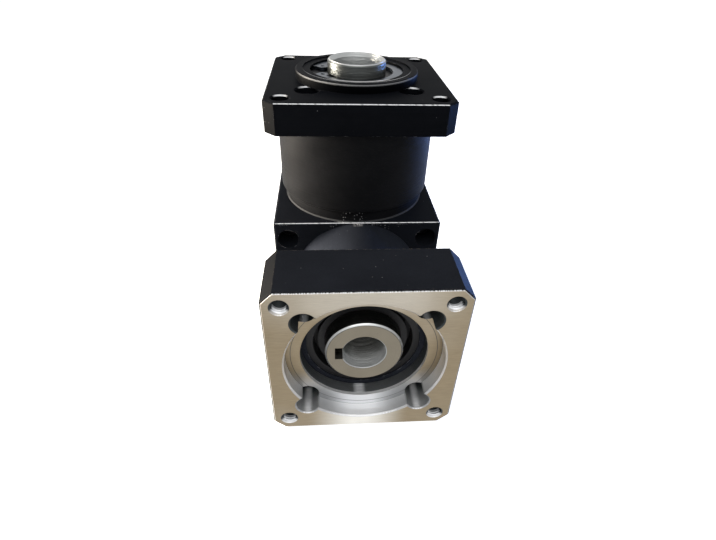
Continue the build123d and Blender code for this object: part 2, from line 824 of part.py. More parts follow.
# Upright shaft with the sun gear cut into its top
with BuildPart() as sun_shaft:
    disc(level(lower_bearing_bottom), bevel_shaft_dia - 2 * seat_gap, block_top - lower_bearing_bottom)
    chamfer(sun_shaft.edges().group_by(Axis.Z)[0], shaft_edge)
    disc(level(block_top), sun_collar_dia, sun_collar_height)
    disc(level(block_top), sun_neck_dia, planet_bottom - block_top)
    extrude(spur_section(level(planet_bottom), sun_teeth, 0), amount=planet_width)
    shaft_circlip_groove_cut(gear_plane.offset(circlip_start), bevel_shaft_dia)
    key_seat(gear_plane)
save(sun_shaft, "sun_shaft")

upright_bearing_sizes = (
    bevel_shaft_dia, upright_bearing_dia, upright_bearing_width, upright_ball_dia, upright_ball_count
)
ball_bearing("lower_shaft_bearing", level(lower_bearing_bottom), *upright_bearing_sizes)
ball_bearing("upper_shaft_bearing", level(upper_bearing_bottom), *upright_bearing_sizes)

# Ring gear, the round body between the housing and the output flange
with BuildPart() as ring_gear:
    foot_top = ring_gear_bottom + ring_foot_height
    disc(level(foot_top), ring_gear_dia, ring_gear_top - foot_top)
    chamfer(ring_gear.edges().group_by(Axis.Z)[0], ring_foot_edge)
    disc(level(ring_gear_bottom), ring_foot_dia, ring_foot_height)
    extrude(ring_hole_section(level(ring_gear_bottom)), amount=ring_gear_top - ring_gear_bottom, mode=Mode.SUBTRACT)
    register_depth = register_height - gasket_thickness + side_play
    disc(level(ring_gear_bottom), register_dia + 2 * seat_gap, register_depth, Mode.SUBTRACT)
    spigot_space = ring_gear_top - output_spigot_bottom + side_play
    disc(level(ring_gear_top), output_spigot_dia + 2 * seat_gap, -spigot_space, Mode.SUBTRACT)
    drill(level(ring_gear_top), tie_places(), m4_dia + 2 * screw_gap, ring_gear_top - ring_gear_bottom)
save(ring_gear, "ring_gear")

with BuildPart() as ring_gear_gasket:
    tube(level(block_top), ring_foot_dia + 2 * gasket_proud, register_dia + 2 * seat_gap, gasket_thickness)
    drill(level(ring_gear_bottom), tie_places(), m4_dia + 2 * screw_gap, gasket_thickness)
save(ring_gear_gasket, "ring_gear_gasket")

# Planet gears on needle rollers
for planet in range(planet_count):
    angle = 360 * planet / planet_count
    centre = polar(planet_orbit, radians(angle))
    planet_plane = Plane(
        origin=(centre[0], centre[1], planet_bottom - output_height), x_dir=(1, 0, 0), z_dir=(0, 0, 1)
    )
    with BuildPart() as planet_gear:
        gap_towards_sun = radians(angle) + pi + pi / planet_teeth
        extrude(spur_section(planet_plane, planet_teeth, gap_towards_sun), amount=planet_width)
        disc(planet_plane, planet_bore_dia, planet_width, Mode.SUBTRACT)
    save(planet_gear, f"planet_gear_{planet + 1}")

with BuildPart() as needle_rollers:
    needle_orbit = pin_dia / 2 + needle_play + needle_dia / 2
    with BuildSketch(level(planet_bottom + side_play)):
        with planet_places():
            with PolarLocations(needle_orbit, needle_count):
                Circle(needle_dia / 2)
    extrude(amount=planet_width - 2 * side_play)
save(needle_rollers, "needle_rollers")

with BuildPart() as planet_washers:
    for washer_height in (end_plate_top, carrier_disc_bottom - washer_thickness):
        with BuildSketch(level(washer_height)) as washer_section:
            with planet_places():
                Circle(washer_dia / 2)
            with planet_places():
                Circle(pin_dia / 2 + seat_gap, mode=Mode.SUBTRACT)
        extrude(washer_section.sketch, amount=washer_thickness)
save(planet_washers, "planet_washers")

with BuildPart() as planet_pins:
    pin_bottom = end_plate_bottom + pin_setback
    with BuildSketch(level(pin_bottom)):
        with planet_places():
            Circle(pin_dia / 2)
    extrude(amount=carrier_disc_top - pin_setback - pin_bottom)
save(planet_pins, "planet_pins")

# Planet carrier in one piece with the hollow output shaft
with BuildPart() as planet_carrier:
    disc(level(carrier_disc_bottom), carrier_dia, carrier_disc_thickness)
    disc(level(carrier_disc_top), output_shoulder_dia, lower_output_bearing_bottom - carrier_disc_top)
    disc(level(carrier_disc_top), output_shaft_dia - 2 * seat_gap, output_shaft_top - carrier_disc_top)
    chamfer(planet_carrier.edges().group_by(Axis.Z)[-1], shaft_edge)
    disc(level(output_shaft_top), output_bore_dia, -output_bore_depth, Mode.SUBTRACT)
    chamfer(planet_carrier.edges().group_by(Axis.Z)[-1].sort_by(SortBy.RADIUS)[0], output_bore_edge)
    with BuildSketch(level(end_plate_top)):
        with planet_places(start=180 / planet_count):
            Circle(pillar_dia / 2)
    extrude(amount=carrier_disc_bottom - end_plate_top)
    drill(level(carrier_disc_top), planet_places(), pin_dia + 2 * seat_gap, carrier_disc_thickness)
    thread_depth = carrier_screw_length - end_plate_thickness + 1
    drill(
        down_level(end_plate_top), planet_places(start=180 / planet_count), m3_dia + 2 * thread_gap, thread_depth
    )
save(planet_carrier, "planet_carrier")

with BuildPart() as carrier_end_plate:
    tube(level(end_plate_bottom), carrier_dia, end_plate_bore, end_plate_thickness)
    drill(level(end_plate_top), planet_places(), pin_dia + 2 * seat_gap, end_plate_thickness)
    countersink(down_level(end_plate_bottom), planet_places(start=180 / planet_count), end_plate_thickness)
save(carrier_end_plate, "carrier_end_plate")
flat_screws(
    "carrier_screws", down_level(end_plate_bottom), planet_places(start=180 / planet_count), carrier_screw_length
)

# Output flange, with its boss above and its spigot in the ring gear
with BuildPart() as output_flange:
    with BuildSketch(level(ring_gear_top)):
        Rectangle(flange_side, flange_side)
    extrude(amount=output_flange_thickness)
    chamfer(output_flange.edges().filter_by(Axis.Z), flange_corner)
    chamfer(output_flange.faces().sort_by(Axis.Z)[-1].edges(), flange_edge)
    disc(level(output_height), boss_dia, boss_height)
    chamfer(output_flange.edges().group_by(Axis.Z)[-1], 0.4)
    disc(level(ring_gear_top), output_spigot_dia, output_spigot_bottom - ring_gear_top)
    bore_depth = boss_top - lower_output_bearing_bottom
    disc(level(boss_top), output_bearing_dia + 2 * seat_gap, -bore_depth, Mode.SUBTRACT)
    disc(level(boss_top), output_lip_dia, output_spigot_bottom - boss_top, Mode.SUBTRACT)
    disc(level(boss_top), boss_step_dia, -boss_step_depth, Mode.SUBTRACT)
    tube(
        level(circlip_top),
        output_bearing_dia + 2 * circlip_groove,
        output_bearing_dia,
        -(circlip_thickness + circlip_setback),
        Mode.SUBTRACT,
    )
    output_oring_plane = level((ring_gear_top + output_spigot_bottom) / 2)
    oring_groove(output_oring_plane, output_spigot_dia)
    drill(level(output_height), mount_places(), output_mount_dia, output_flange_thickness)
    drill(level(output_height), tie_places(), tie_counterbore_dia, tie_counterbore_depth)
    drill(level(output_height), tie_places(), m4_dia + 2 * screw_gap, output_flange_thickness)
    ease_mouths(level(output_height), mount_places(), output_mount_dia, mouth_edge)
    ease_mouths(level(output_height), tie_places(), tie_counterbore_dia, mouth_edge)
save(output_flange, "output_flange")
oring("output_flange_oring", output_oring_plane, output_spigot_dia - 2 * oring_section)
cap_screws("output_flange_screws", level(output_height - tie_counterbore_depth), tie_places(), tie_screw_length)
bore_circlip("output_circlip", level(circlip_top - circlip_thickness), output_bearing_dia, 180)

output_bearing_sizes = (
    output_shaft_dia, output_bearing_dia, output_bearing_width, output_ball_dia, output_ball_count
)
ball_bearing("upper_output_bearing", level(upper_output_bearing_bottom), *output_bearing_sizes)
ball_bearing("lower_output_bearing", level(lower_output_bearing_bottom), *output_bearing_sizes)

with BuildPart() as output_bearing_seal:
    seal_reach = output_shaft_dia / 2 + running_gap
    turned(
        level(output_seal_bottom),
        [
            (seal_reach, output_seal_relief),
            (output_seal_rim_dia / 2, output_seal_relief),
            (output_seal_rim_dia / 2, 0),
            (output_bearing_dia / 2, 0),
            (output_bearing_dia / 2, output_seal_thickness),
            (seal_reach, output_seal_thickness),
        ],
    )
save(output_bearing_seal, "output_bearing_seal")

with BuildPart() as output_spacer:
    tube(
        level(lower_output_bearing_top),
        output_bearing_dia,
        output_bearing_dia - 2 * output_spacer_wall,
        output_spacer_length,
    )
save(output_spacer, "output_spacer")
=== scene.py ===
"""Looks for a right angle planetary gearbox.

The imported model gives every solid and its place. This file gives each one its finish, puts knurled
cap screws and cut threads where the plain solids are, and sets the stage it is looked at on.
"""

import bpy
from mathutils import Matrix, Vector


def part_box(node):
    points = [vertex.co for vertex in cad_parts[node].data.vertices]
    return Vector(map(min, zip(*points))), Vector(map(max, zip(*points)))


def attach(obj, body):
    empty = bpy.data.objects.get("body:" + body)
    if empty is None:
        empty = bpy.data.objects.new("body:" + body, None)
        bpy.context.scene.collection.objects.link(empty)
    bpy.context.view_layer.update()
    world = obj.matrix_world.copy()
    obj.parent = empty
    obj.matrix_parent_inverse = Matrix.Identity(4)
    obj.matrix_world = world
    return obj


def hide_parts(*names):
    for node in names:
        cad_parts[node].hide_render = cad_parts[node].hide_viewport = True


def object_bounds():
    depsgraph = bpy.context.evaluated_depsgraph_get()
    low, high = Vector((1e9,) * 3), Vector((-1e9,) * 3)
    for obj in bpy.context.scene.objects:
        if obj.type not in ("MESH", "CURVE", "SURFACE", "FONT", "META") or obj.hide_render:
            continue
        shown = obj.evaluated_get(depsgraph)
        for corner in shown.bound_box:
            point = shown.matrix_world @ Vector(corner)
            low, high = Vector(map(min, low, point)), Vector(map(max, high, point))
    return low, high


bl_info = {
    "name": "Right Angle Gearbox Looks",
    "version": (1, 0, 0),
    "blender": (4, 5, 0),
    "location": "3D View > Sidebar > Gearbox",
    "description": "Dresses the packed right angle planetary gearbox and sets its stage",
    "category": "Object",
}

from math import cos, pi, radians
from types import SimpleNamespace

import bmesh
import bpy
from bpy.props import FloatProperty, FloatVectorProperty, IntProperty, PointerProperty
from bpy.types import Operator, Panel, PropertyGroup
from mathutils import Euler, Matrix, Vector

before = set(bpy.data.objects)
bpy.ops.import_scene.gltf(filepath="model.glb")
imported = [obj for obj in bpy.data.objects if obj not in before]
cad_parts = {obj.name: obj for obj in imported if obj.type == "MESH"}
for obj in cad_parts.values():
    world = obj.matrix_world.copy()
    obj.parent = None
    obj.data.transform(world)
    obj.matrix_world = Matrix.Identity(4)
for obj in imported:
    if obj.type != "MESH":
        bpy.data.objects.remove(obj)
cad_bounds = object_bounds()

MM = 0.001

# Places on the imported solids, in millimetres
FLANGE_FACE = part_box("input_flange")[0].y / MM
SHAFT_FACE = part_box("input_shaft")[0].y / MM
INPUT_HEIGHT = (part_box("input_flange")[0].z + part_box("input_flange")[1].z) / 2 / MM
BLOCK_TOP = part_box("ring_gear")[0].z / MM
OUTPUT_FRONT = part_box("output_flange")[0].y / MM

# Features of a solid that its finish follows, in millimetres; a mask reaches a little past each
BLOCK_FRONT = -27.2
HALF_SIDE = 30.0
BOSS_TOP = 3.0
NECK_RADIUS = 23.2
FOOT_RADIUS = 26.25
FLANGE_THICKNESS = 20.0
RECESS_RADIUS = 25.0
RECESS_DEPTH = 5.0
RECESS_GROOVE_RADIUS = 23.3
THROAT_RADIUS = 20.3
POCKET_PLACE = 18.4
POCKET_RADIUS = 3.75
TIE_PLACE = 16.62
TIE_RADIUS = 3.9
MOUNT_RADIUS = 2.75
BOSS_RADIUS = 21.0
BOSS_STEP_RADIUS = 18.5
CIRCLIP_SEAT_RADIUS = 16.25
RING_TOOTH_RADIUS = 21.2
INPUT_SHAFT_RADIUS = 12.5
MOTOR_BORE_RADIUS = 7.0
OUTPUT_SHAFT_RADIUS = 10.0

# Black surfaces have next to no gloss of their own, as a white room would turn them grey
BLACK_GLOSS = 0.01


def length(name, default, description):
    """A size that a user may change, in metres."""
    return FloatProperty(
        name=name, description=description, default=default, min=0.0, precision=5, unit="LENGTH"
    )


def share(name, default, description):
    """A setting from 0 to 1."""
    return FloatProperty(
        name=name, description=description, default=default, min=0.0, max=1.0, subtype="FACTOR"
    )


def power(name, default, description):
    """The power of a lamp, in watts."""
    return FloatProperty(
        name=name, description=description, default=default, min=0.0, unit="POWER"
    )


def colour(name, default, description):
    """A colour that a user may change."""
    return FloatVectorProperty(
        name=name, description=description, default=default + (1.0,), size=4, min=0.0, max=1.0,
        subtype="COLOR",
    )


class GearboxSizes(PropertyGroup):
    """Sizes of the pieces that are made here."""

    head_dia: length("Cap head diameter", 0.007, "Outer diameter of an M4 cap head")
    head_height: length("Cap head height", 0.004, "Height of an M4 cap head")
    socket_width: length("Socket width", 0.003, "Width of the hexagon socket across its flats")
    socket_depth: length("Socket depth", 0.002, "Depth of the hexagon socket")
    shank_dia: length("Shank diameter", 0.004, "Outer diameter of the M4 thread")
    knurl_depth: length("Knurl depth", 0.00012, "Height of the ridges round a cap head")
    knurl_ridges: IntProperty(
        name="Knurl ridges", description="Ridges round a cap head", default=36, min=12
    )
    motor_hole_dia: length("Motor hole diameter", 0.005, "Outer diameter of the tapped holes")
    motor_hole_spacing: length("Motor hole spacing", 0.0495, "Distance between neighbouring holes")
    motor_hole_depth: length("Motor hole depth", 0.012, "Depth of the tapped holes")
    thread_pitch: length("Thread pitch", 0.0008, "Pitch of the M5 thread in the motor holes")
    thread_height: length("Thread height", 0.00042, "How far the thread stands into its hole")


class GearboxColours(PropertyGroup):
    """Colours of the finishes."""

    anodised: colour("Anodised", (0.0088, 0.0100, 0.0132), "Black anodised aluminium")
    blackened: colour("Blackened", (0.0072, 0.0074, 0.0082), "Blackened steel of the ring gear")
    bare: colour("Bare aluminium", (0.88, 0.86, 0.80), "Machined aluminium with a warm cast")
    # Painted shade: the brown that the bare aluminium is painted away from its painted highlights
    painted_side_shade: colour("Tarnish", (0.31, 0.25, 0.165), "Brown cast on bare aluminium")
    # Also the colour of the painted highlights on the input flange's lower walls, pockets, floor and
    # throat, in the threads' lower parts and on the output flange's circlip seat, boss rims and hole
    # openings
    worn: colour("Worn edge", (0.80, 0.81, 0.83), "Aluminium that shows where an edge is worn")
    steel: colour("Ground steel", (0.23, 0.205, 0.16), "Ground steel of the shafts")
    # Also the dark colour of the painted shade in the input flange's holes, pockets and recess and
    # in the threads
    cool_steel_and_shade: colour("Cool steel", (0.13, 0.148, 0.155), "Bluish cast of steel in the bores")
    # Also the colour of the painted highlight round the edge of the input shaft's face
    bored_and_highlight: colour("Bored steel", (0.72, 0.74, 0.74), "Bright steel in the bores of the shafts")
    gear: colour("Gear steel", (0.33, 0.33, 0.335), "Cut and hardened gear steel")
    bearing: colour("Bearing steel", (0.50, 0.50, 0.51), "Polished bearing steel")
    spring: colour("Spring steel", (0.065, 0.078, 0.098), "Blued spring steel of the circlips")
    screw: colour("Screw steel", (0.020, 0.020, 0.022), "Black oxide on the screws")
    rubber: colour("Rubber", (0.011, 0.011, 0.012), "Nitrile rubber of the seals")
    gasket: colour("Gasket", (0.045, 0.047, 0.050), "Pressed fibre gasket")
    dust: colour("Dust", (0.42, 0.42, 0.43), "Dust and chips that lie on the black faces")


class GearboxStage(PropertyGroup):
    """The floor, the camera and the lamps."""

    lens: FloatProperty(
        name="Lens", description="Focal length in millimetres", default=23.14, min=1.0,
        unit="CAMERA",
    )
    floor_size: length("Floor size", 6.0, "Side of the floor")
    floor_level: share("Floor level", 0.82, "Lightness of the floor")
    key_power: power("Key lamp", 2.4, "Power of the lamp over the camera")
    left_power: power("Left lamp", 9.0, "Power of the warm lamp")
    right_power: power("Right lamp", 0.2, "Power of the cool lamp")
    back_power: power("Back lamp", 2.1, "Power of the blue lamp behind")
    world_level: share("World level", 0.35, "Level of the light that comes from all round")
    floor_glow: share("Floor glow", 0.75, "What the floor adds to its own colour for the camera")


class Value:
    """A number socket that takes part in sums: each operator adds a Math node."""

    def __init__(self, finish, socket):
        self.finish = finish
        self.socket = socket

    def sum(self, operation, *terms):
        made = self.finish.node("ShaderNodeMath", {"operation": operation}, dict(enumerate(terms)))
        return Value(self.finish, made.outputs[0])

    def __add__(self, other):
        return self.sum("ADD", self, other)

    __radd__ = __add__

    def __sub__(self, other):
        return self.sum("SUBTRACT", self, other)

    def __rsub__(self, other):
        return self.sum("SUBTRACT", other, self)

    def __mul__(self, other):
        return self.sum("MULTIPLY", self, other)

    __rmul__ = __mul__

    def __abs__(self):
        return self.sum("ABSOLUTE", self)

    def __or__(self, other):
        return self.sum("MAXIMUM", self, other)

    def root(self):
        return self.sum("SQRT", self)

    def rise(self, low, high):
        """0 below low, 1 above high, and smooth between them; high below low turns it round."""
        span = {"interpolation_type": "SMOOTHSTEP", "clamp": True}
        ends = {"Value": self, "From Min": low, "From Max": high}
        made = self.finish.node("ShaderNodeMapRange", span, ends)
        return Value(self.finish, made.outputs["Result"])

    def under(self, limit, soft=0.1):
        """0 above a limit, and 1 once the value is below it by the soft band."""
        return self.rise(limit, limit - soft)

    def near(self, centre, reach, soft=0.1):
        """1 within reach of centre and 0 outside."""
        return abs(self - centre).rise(reach + soft, reach)


class Nodes:
    """A node tree in the making, whose nodes all come from the method node."""

    def __init__(self, tree):
        self.tree = tree
        self.tree.nodes.clear()

    def node(self, kind, settings=None, inputs=None):
        """Add a node: its settings are set first, then its sockets get their values or links."""
        made = self.tree.nodes.new(kind)
        for key, value in (settings or {}).items():
            setattr(made, key, value)
        for key, value in (inputs or {}).items():
            if isinstance(value, Value):
                value = value.socket
            if isinstance(value, bpy.types.NodeSocket):
                self.tree.links.new(value, made.inputs[key])
            else:
                made.inputs[key].default_value = value
        return made

    def plain_rays(self):
        """Two masks: rays straight from the camera, and rays from a mirror or through glass."""
        rays = self.node("ShaderNodeLightPath").outputs
        names = ("Is Camera Ray", "Is Glossy Ray", "Is Transmission Ray")
        seen, mirrored, through = (Value(self, rays[name]) for name in names)
        return seen, mirrored | through


class Finish(Nodes):
    """One material: its methods name the patterns that finishes are made of."""

    def __init__(self, name):
        self.material = bpy.data.materials.new(name)
        self.material.use_nodes = True
        super().__init__(self.material.node_tree)
        coordinates = self.node("ShaderNodeTexCoord")
        metres = {0: coordinates.outputs["Object"], "Scale": 1 / MM}
        self.place = self.node("ShaderNodeVectorMath", {"operation": "SCALE"}, metres).outputs[0]
        self.normal = coordinates.outputs["Normal"]
        parts = self.node("ShaderNodeSeparateXYZ", {}, {0: self.place})
        self.x, self.y, self.z = (Value(self, parts.outputs[i]) for i in range(3))
        self.up = self.z - INPUT_HEIGHT

    def facing(self, direction):
        """How squarely the surface faces a direction, 1 at most."""
        return self.alike(self.normal, tuple(Vector(direction).normalized()))

    def alike(self, first, second):
        """Dot product of two directions: 1 where they are the same."""
        inputs = {0: first, 1: second}
        made = self.node("ShaderNodeVectorMath", {"operation": "DOT_PRODUCT"}, inputs)
        return Value(self, made.outputs["Value"])

    def front_top_bevel(self):
        """1 on the narrow bevel along a front top edge."""
        return self.facing((0, -1, 1)).rise(0.93, 0.97)

    def stretched(self, scales):
        """The place in millimetres, with each direction scaled by itself."""
        inputs = {0: self.place, 1: scales}
        return self.node("ShaderNodeVectorMath", {"operation": "MULTIPLY"}, inputs).outputs[0]

    def noise(self, scales, detail=2.0, roughness=0.5):
        """Noise from about 0 to 1, at so many lumps per millimetre along each axis."""
        if not isinstance(scales, tuple):
            scales = (scales,) * 3
        inputs = {"Scale": 1.0, "Detail": detail, "Roughness": roughness}
        inputs["Vector"] = self.stretched(scales)
        return Value(self, self.node("ShaderNodeTexNoise", {}, inputs).outputs[0])

    def lines(self, value, per_mm, detail=1.0):
        """Noise that only changes with one value, for turned or milled lines."""
        inputs = {"W": value * per_mm, "Scale": 1.0, "Detail": detail}
        made = self.node("ShaderNodeTexNoise", {"noise_dimensions": "1D"}, inputs)
        return Value(self, made.outputs[0])

    def specks(self, per_mm, size, share_kept):
        """Small separate spots: one point in each cell, of which a share is kept."""
        inputs = {"Vector": self.stretched((per_mm,) * 3), "Scale": 1.0}
        made = self.node("ShaderNodeTexVoronoi", {}, inputs)
        spot = Value(self, made.outputs["Distance"]).rise(size, size * 0.6)
        pick = self.node("ShaderNodeSeparateColor", {}, {0: made.outputs["Color"]})
        return spot * Value(self, pick.outputs[0]).rise(1 - share_kept, 1 - share_kept + 0.05)

    def distance(self, first, second):
        """Length of two distances at right angles."""
        return (first * first + second * second).root()

    def from_four(self, first, second, place):
        """Distance to the nearest of four holes, which lie at plus and minus place both ways."""
        return self.distance(abs(first) - place, abs(second) - place)

    def above_hole(self, place):
        """Height over the nearest hole's middle, which is at plus or minus place."""
        return self.up - (self.up.rise(-0.1, 0.1) * (2 * place) - place)

    def mix(self, mask, first, second):
        """A colour between two others."""
        made = self.node("ShaderNodeMix", {"data_type": "RGBA"}, {0: mask, 6: first, 7: second})
        return made.outputs[2]

    def shade(self, tone, mask):
        """A colour made lighter or darker by a value round 1."""
        grey = self.node("ShaderNodeCombineColor", {}, {0: mask, 1: mask, 2: mask})
        settings = {"data_type": "RGBA", "blend_type": "MULTIPLY"}
        made = self.node("ShaderNodeMix", settings, {0: 1.0, 6: tone, 7: grey.outputs[0]})
        return made.outputs[2]

    def softened(self, radius, samples=4):
        """The surface direction with every edge rounded a little."""
        made = self.node("ShaderNodeBevel", {"samples": samples}, {"Radius": radius * MM})
        return made.outputs[0]

    def edges(self, radius):
        """1 close to a sharp outer edge, and 0 on a flat face and in a corner."""
        flat = self.node("ShaderNodeNewGeometry").outputs["Normal"]
        turned = 1 - self.alike(self.softened(radius, 6), flat)
        return turned.rise(0.02, 0.25) * self.open_air(radius * 2)

    def open_air(self, reach):
        """1 where nothing stands close to the surface, and less in a corner or a groove."""
        made = self.node("ShaderNodeAmbientOcclusion", {"samples": 6}, {"Distance": reach * MM})
        return Value(self, made.outputs["AO"]).rise(0.80, 0.97)

    def bump(self, height, depth, under=None):
        """Surface direction with a relief whose full height is depth millimetres."""
        inputs = {"Height": height, "Distance": depth * MM, "Strength": 1.0}
        if under is not None:
            inputs["Normal"] = under
        return self.node("ShaderNodeBump", {}, inputs).outputs[0]

    def close(self, **sockets):
        """Finish with the surface shader, whose sockets are named in small letters here."""
        names = {key: key.replace("_", " ").title().replace("Ior", "IOR") for key in sockets}
        inputs = {names[key]: value for key, value in sockets.items()}
        shader = self.node("ShaderNodeBsdfPrincipled", {}, inputs)
        self.node("ShaderNodeOutputMaterial", {}, {"Surface": shader.outputs[0]})
        return self.material


def colours():
    """The colours of the finishes, by their names."""
    group = bpy.context.scene.gearbox_colours
    return SimpleNamespace(**{name: tuple(getattr(group, name)) for name in group.__annotations__})


def sizes():
    """The sizes of the pieces that are made here."""
    return bpy.context.scene.gearbox_sizes


def motor_hole_place():
    """Distance of a motor hole from the flange's middle, along either side, in millimetres."""
    return sizes().motor_hole_spacing / 2 / MM


def dress(material, *nodes):
    """Give CAD nodes a finish in every slot they have."""
    for name in nodes:
        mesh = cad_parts[name].data
        if not mesh.materials:
            mesh.materials.append(material)
        for slot in range(len(mesh.materials)):
            mesh.materials[slot] = material


def anodised_coat(finish, level=1.0):
    """Colour, roughness and relief of black anodised aluminium, with its grain, dust and chips."""
    palette = colours()
    cloud = finish.noise(0.06, 3.0)
    grain = finish.noise(2.6, 2.0, 0.6)
    milled = finish.noise((0.05, 0.05, 1.8), 2.0)
    motes = finish.specks(0.75, 0.13, 0.14) * finish.noise(0.09, 1.0).rise(0.50, 0.66)
    patches = cloud * 0.7 + grain * 0.5 + milled * 0.35 + 0.25
    # level lightens or darkens the whole coat; the callers use it for painted light and painted
    # shade
    tone = finish.shade(palette.anodised, patches * level)
    tone = finish.mix(motes * 0.35, tone, palette.dust)
    roughness = 0.46 + cloud * 0.14 + motes * 0.2
    relief = grain * 0.6 + milled * 0.4
    return tone, roughness, relief


def chattered_edge(finish, mask):
    """Where a front top edge is worn through to bright metal, in uneven strokes of the cutter."""
    strokes = finish.lines(finish.x + finish.z, 0.8, 3.0).rise(0.32, 0.50)
    ragged = finish.noise((2.4, 4.0, 4.0), 2.0).rise(0.26, 0.46)
    return mask * (strokes * 0.45 + 0.55) * (ragged * 0.5 + 0.5)


def corner_cuts(finish, reach, first, second):
    """1 on the flat cuts across a flange's corners, which face along two diagonals."""
    slanted = abs(finish.facing(first)) | abs(finish.facing(second))
    return slanted.rise(0.90, 0.97) * reach.rise(HALF_SIDE + 1.0, HALF_SIDE + 3.0)


def turned_metal(finish, tone, radius, along, faced):
    """Colour and relief of turned metal: faint rings on its faces and deep lines in its bores."""
    rings = finish.lines(radius, 5.5, 2.0)
    feed = finish.lines(along, 4.2, 2.0)
    grain = finish.noise(4.0, 2.0, 0.6)
    cloud = finish.noise(0.12, 3.0)
    level = 0.58 + rings * 0.18 + feed * (1 - faced) * 0.30 + faced * 0.15
    level = level + grain * 0.16 + cloud * 0.28
    relief = (rings * 0.03 + grain * 0.02) * faced + feed * (1 - faced)
    return finish.shade(tone, level), relief


class GEARBOX_OT_housing(Operator):
    """Black anodised finish of the angle housing, with its worn top edge and the dust on it"""

    bl_idname = "gearbox.housing"
    bl_label = "Angle housing"

    def execute(self, context):
        palette = colours()
        finish = Finish("angle_housing_anodised")
        neck = finish.distance(finish.x, finish.up).under(NECK_RADIUS + 0.3, 0.2)
        neck = neck * finish.y.under(BLOCK_FRONT, 0.3)
        # painted light: the black coat on the neck is painted lighter
        tone, roughness, relief = anodised_coat(finish, 1 + neck * 1.2)
        edge = finish.front_top_bevel() * finish.y.near(BLOCK_FRONT, 1.0)
        bare = chattered_edge(finish, edge * finish.z.near(BLOCK_TOP - 0.30, 0.25, 0.10))
        on_top = finish.z.near(BLOCK_TOP, 0.6) * finish.facing((0, 0, 1)).rise(0.5, 0.7)
        middle = finish.x.near(-1.0, 3.5, 4.0) * finish.y.near(BLOCK_FRONT + 1.0, 1.0, 2.2)
        chips = finish.noise((1.4, 2.4, 1.4), 3.0, 0.7).rise(0.44, 0.52) * middle * on_top
        front = finish.facing((0, -1, 0)).rise(0.6, 0.8) * finish.x.near(0.5, 7.0, 5.0)
        under_edge = finish.z.near(BLOCK_TOP - 1.6, 1.8, 1.8)
        flecks = finish.specks(1.3, 0.36, 0.60) * front * under_edge * 0.6
        ring = finish.distance(finish.x, finish.y).near(FOOT_RADIUS + 0.35, 0.06, 0.10) * on_top
        bare = bare | (finish.edges(0.35) * finish.noise(0.45, 3.0).rise(0.52, 0.66) * 0.35)
        tone = finish.mix(chips | flecks | (ring * 0.22), tone, palette.dust)
        tone = finish.mix(bare, tone, palette.worn)
        material = finish.close(
            base_color=tone, roughness=roughness | (bare * 0.42), metallic=bare * 0.55,
            specular_ior_level=BLACK_GLOSS,
            normal=finish.bump(relief, 0.006, finish.softened(0.25)),
        )
        dress(material, "angle_housing")
        return {"FINISHED"}


class GEARBOX_OT_covers(Operator):
    """Black anodised finish of the rear and bottom covers"""

    bl_idname = "gearbox.covers"
    bl_label = "Covers"

    def execute(self, context):
        palette = colours()
        finish = Finish("cover_anodised")
        tone, roughness, relief = anodised_coat(finish)
        worn = finish.edges(0.3) * finish.noise(0.5, 3.0).rise(0.48, 0.66) * 0.5
        rings = finish.lines(finish.distance(finish.x, finish.y), 2.2, 2.0)
        relief = relief + rings * finish.facing((0, 0, -1)).rise(0.6, 0.8)
        material = finish.close(
            base_color=finish.mix(worn, tone, palette.worn), roughness=roughness + worn * 0.1,
            metallic=worn * 0.5, specular_ior_level=BLACK_GLOSS,
            normal=finish.bump(relief, 0.006, finish.softened(0.22)),
        )
        dress(material, "rear_cover", "bottom_cover")
        return {"FINISHED"}


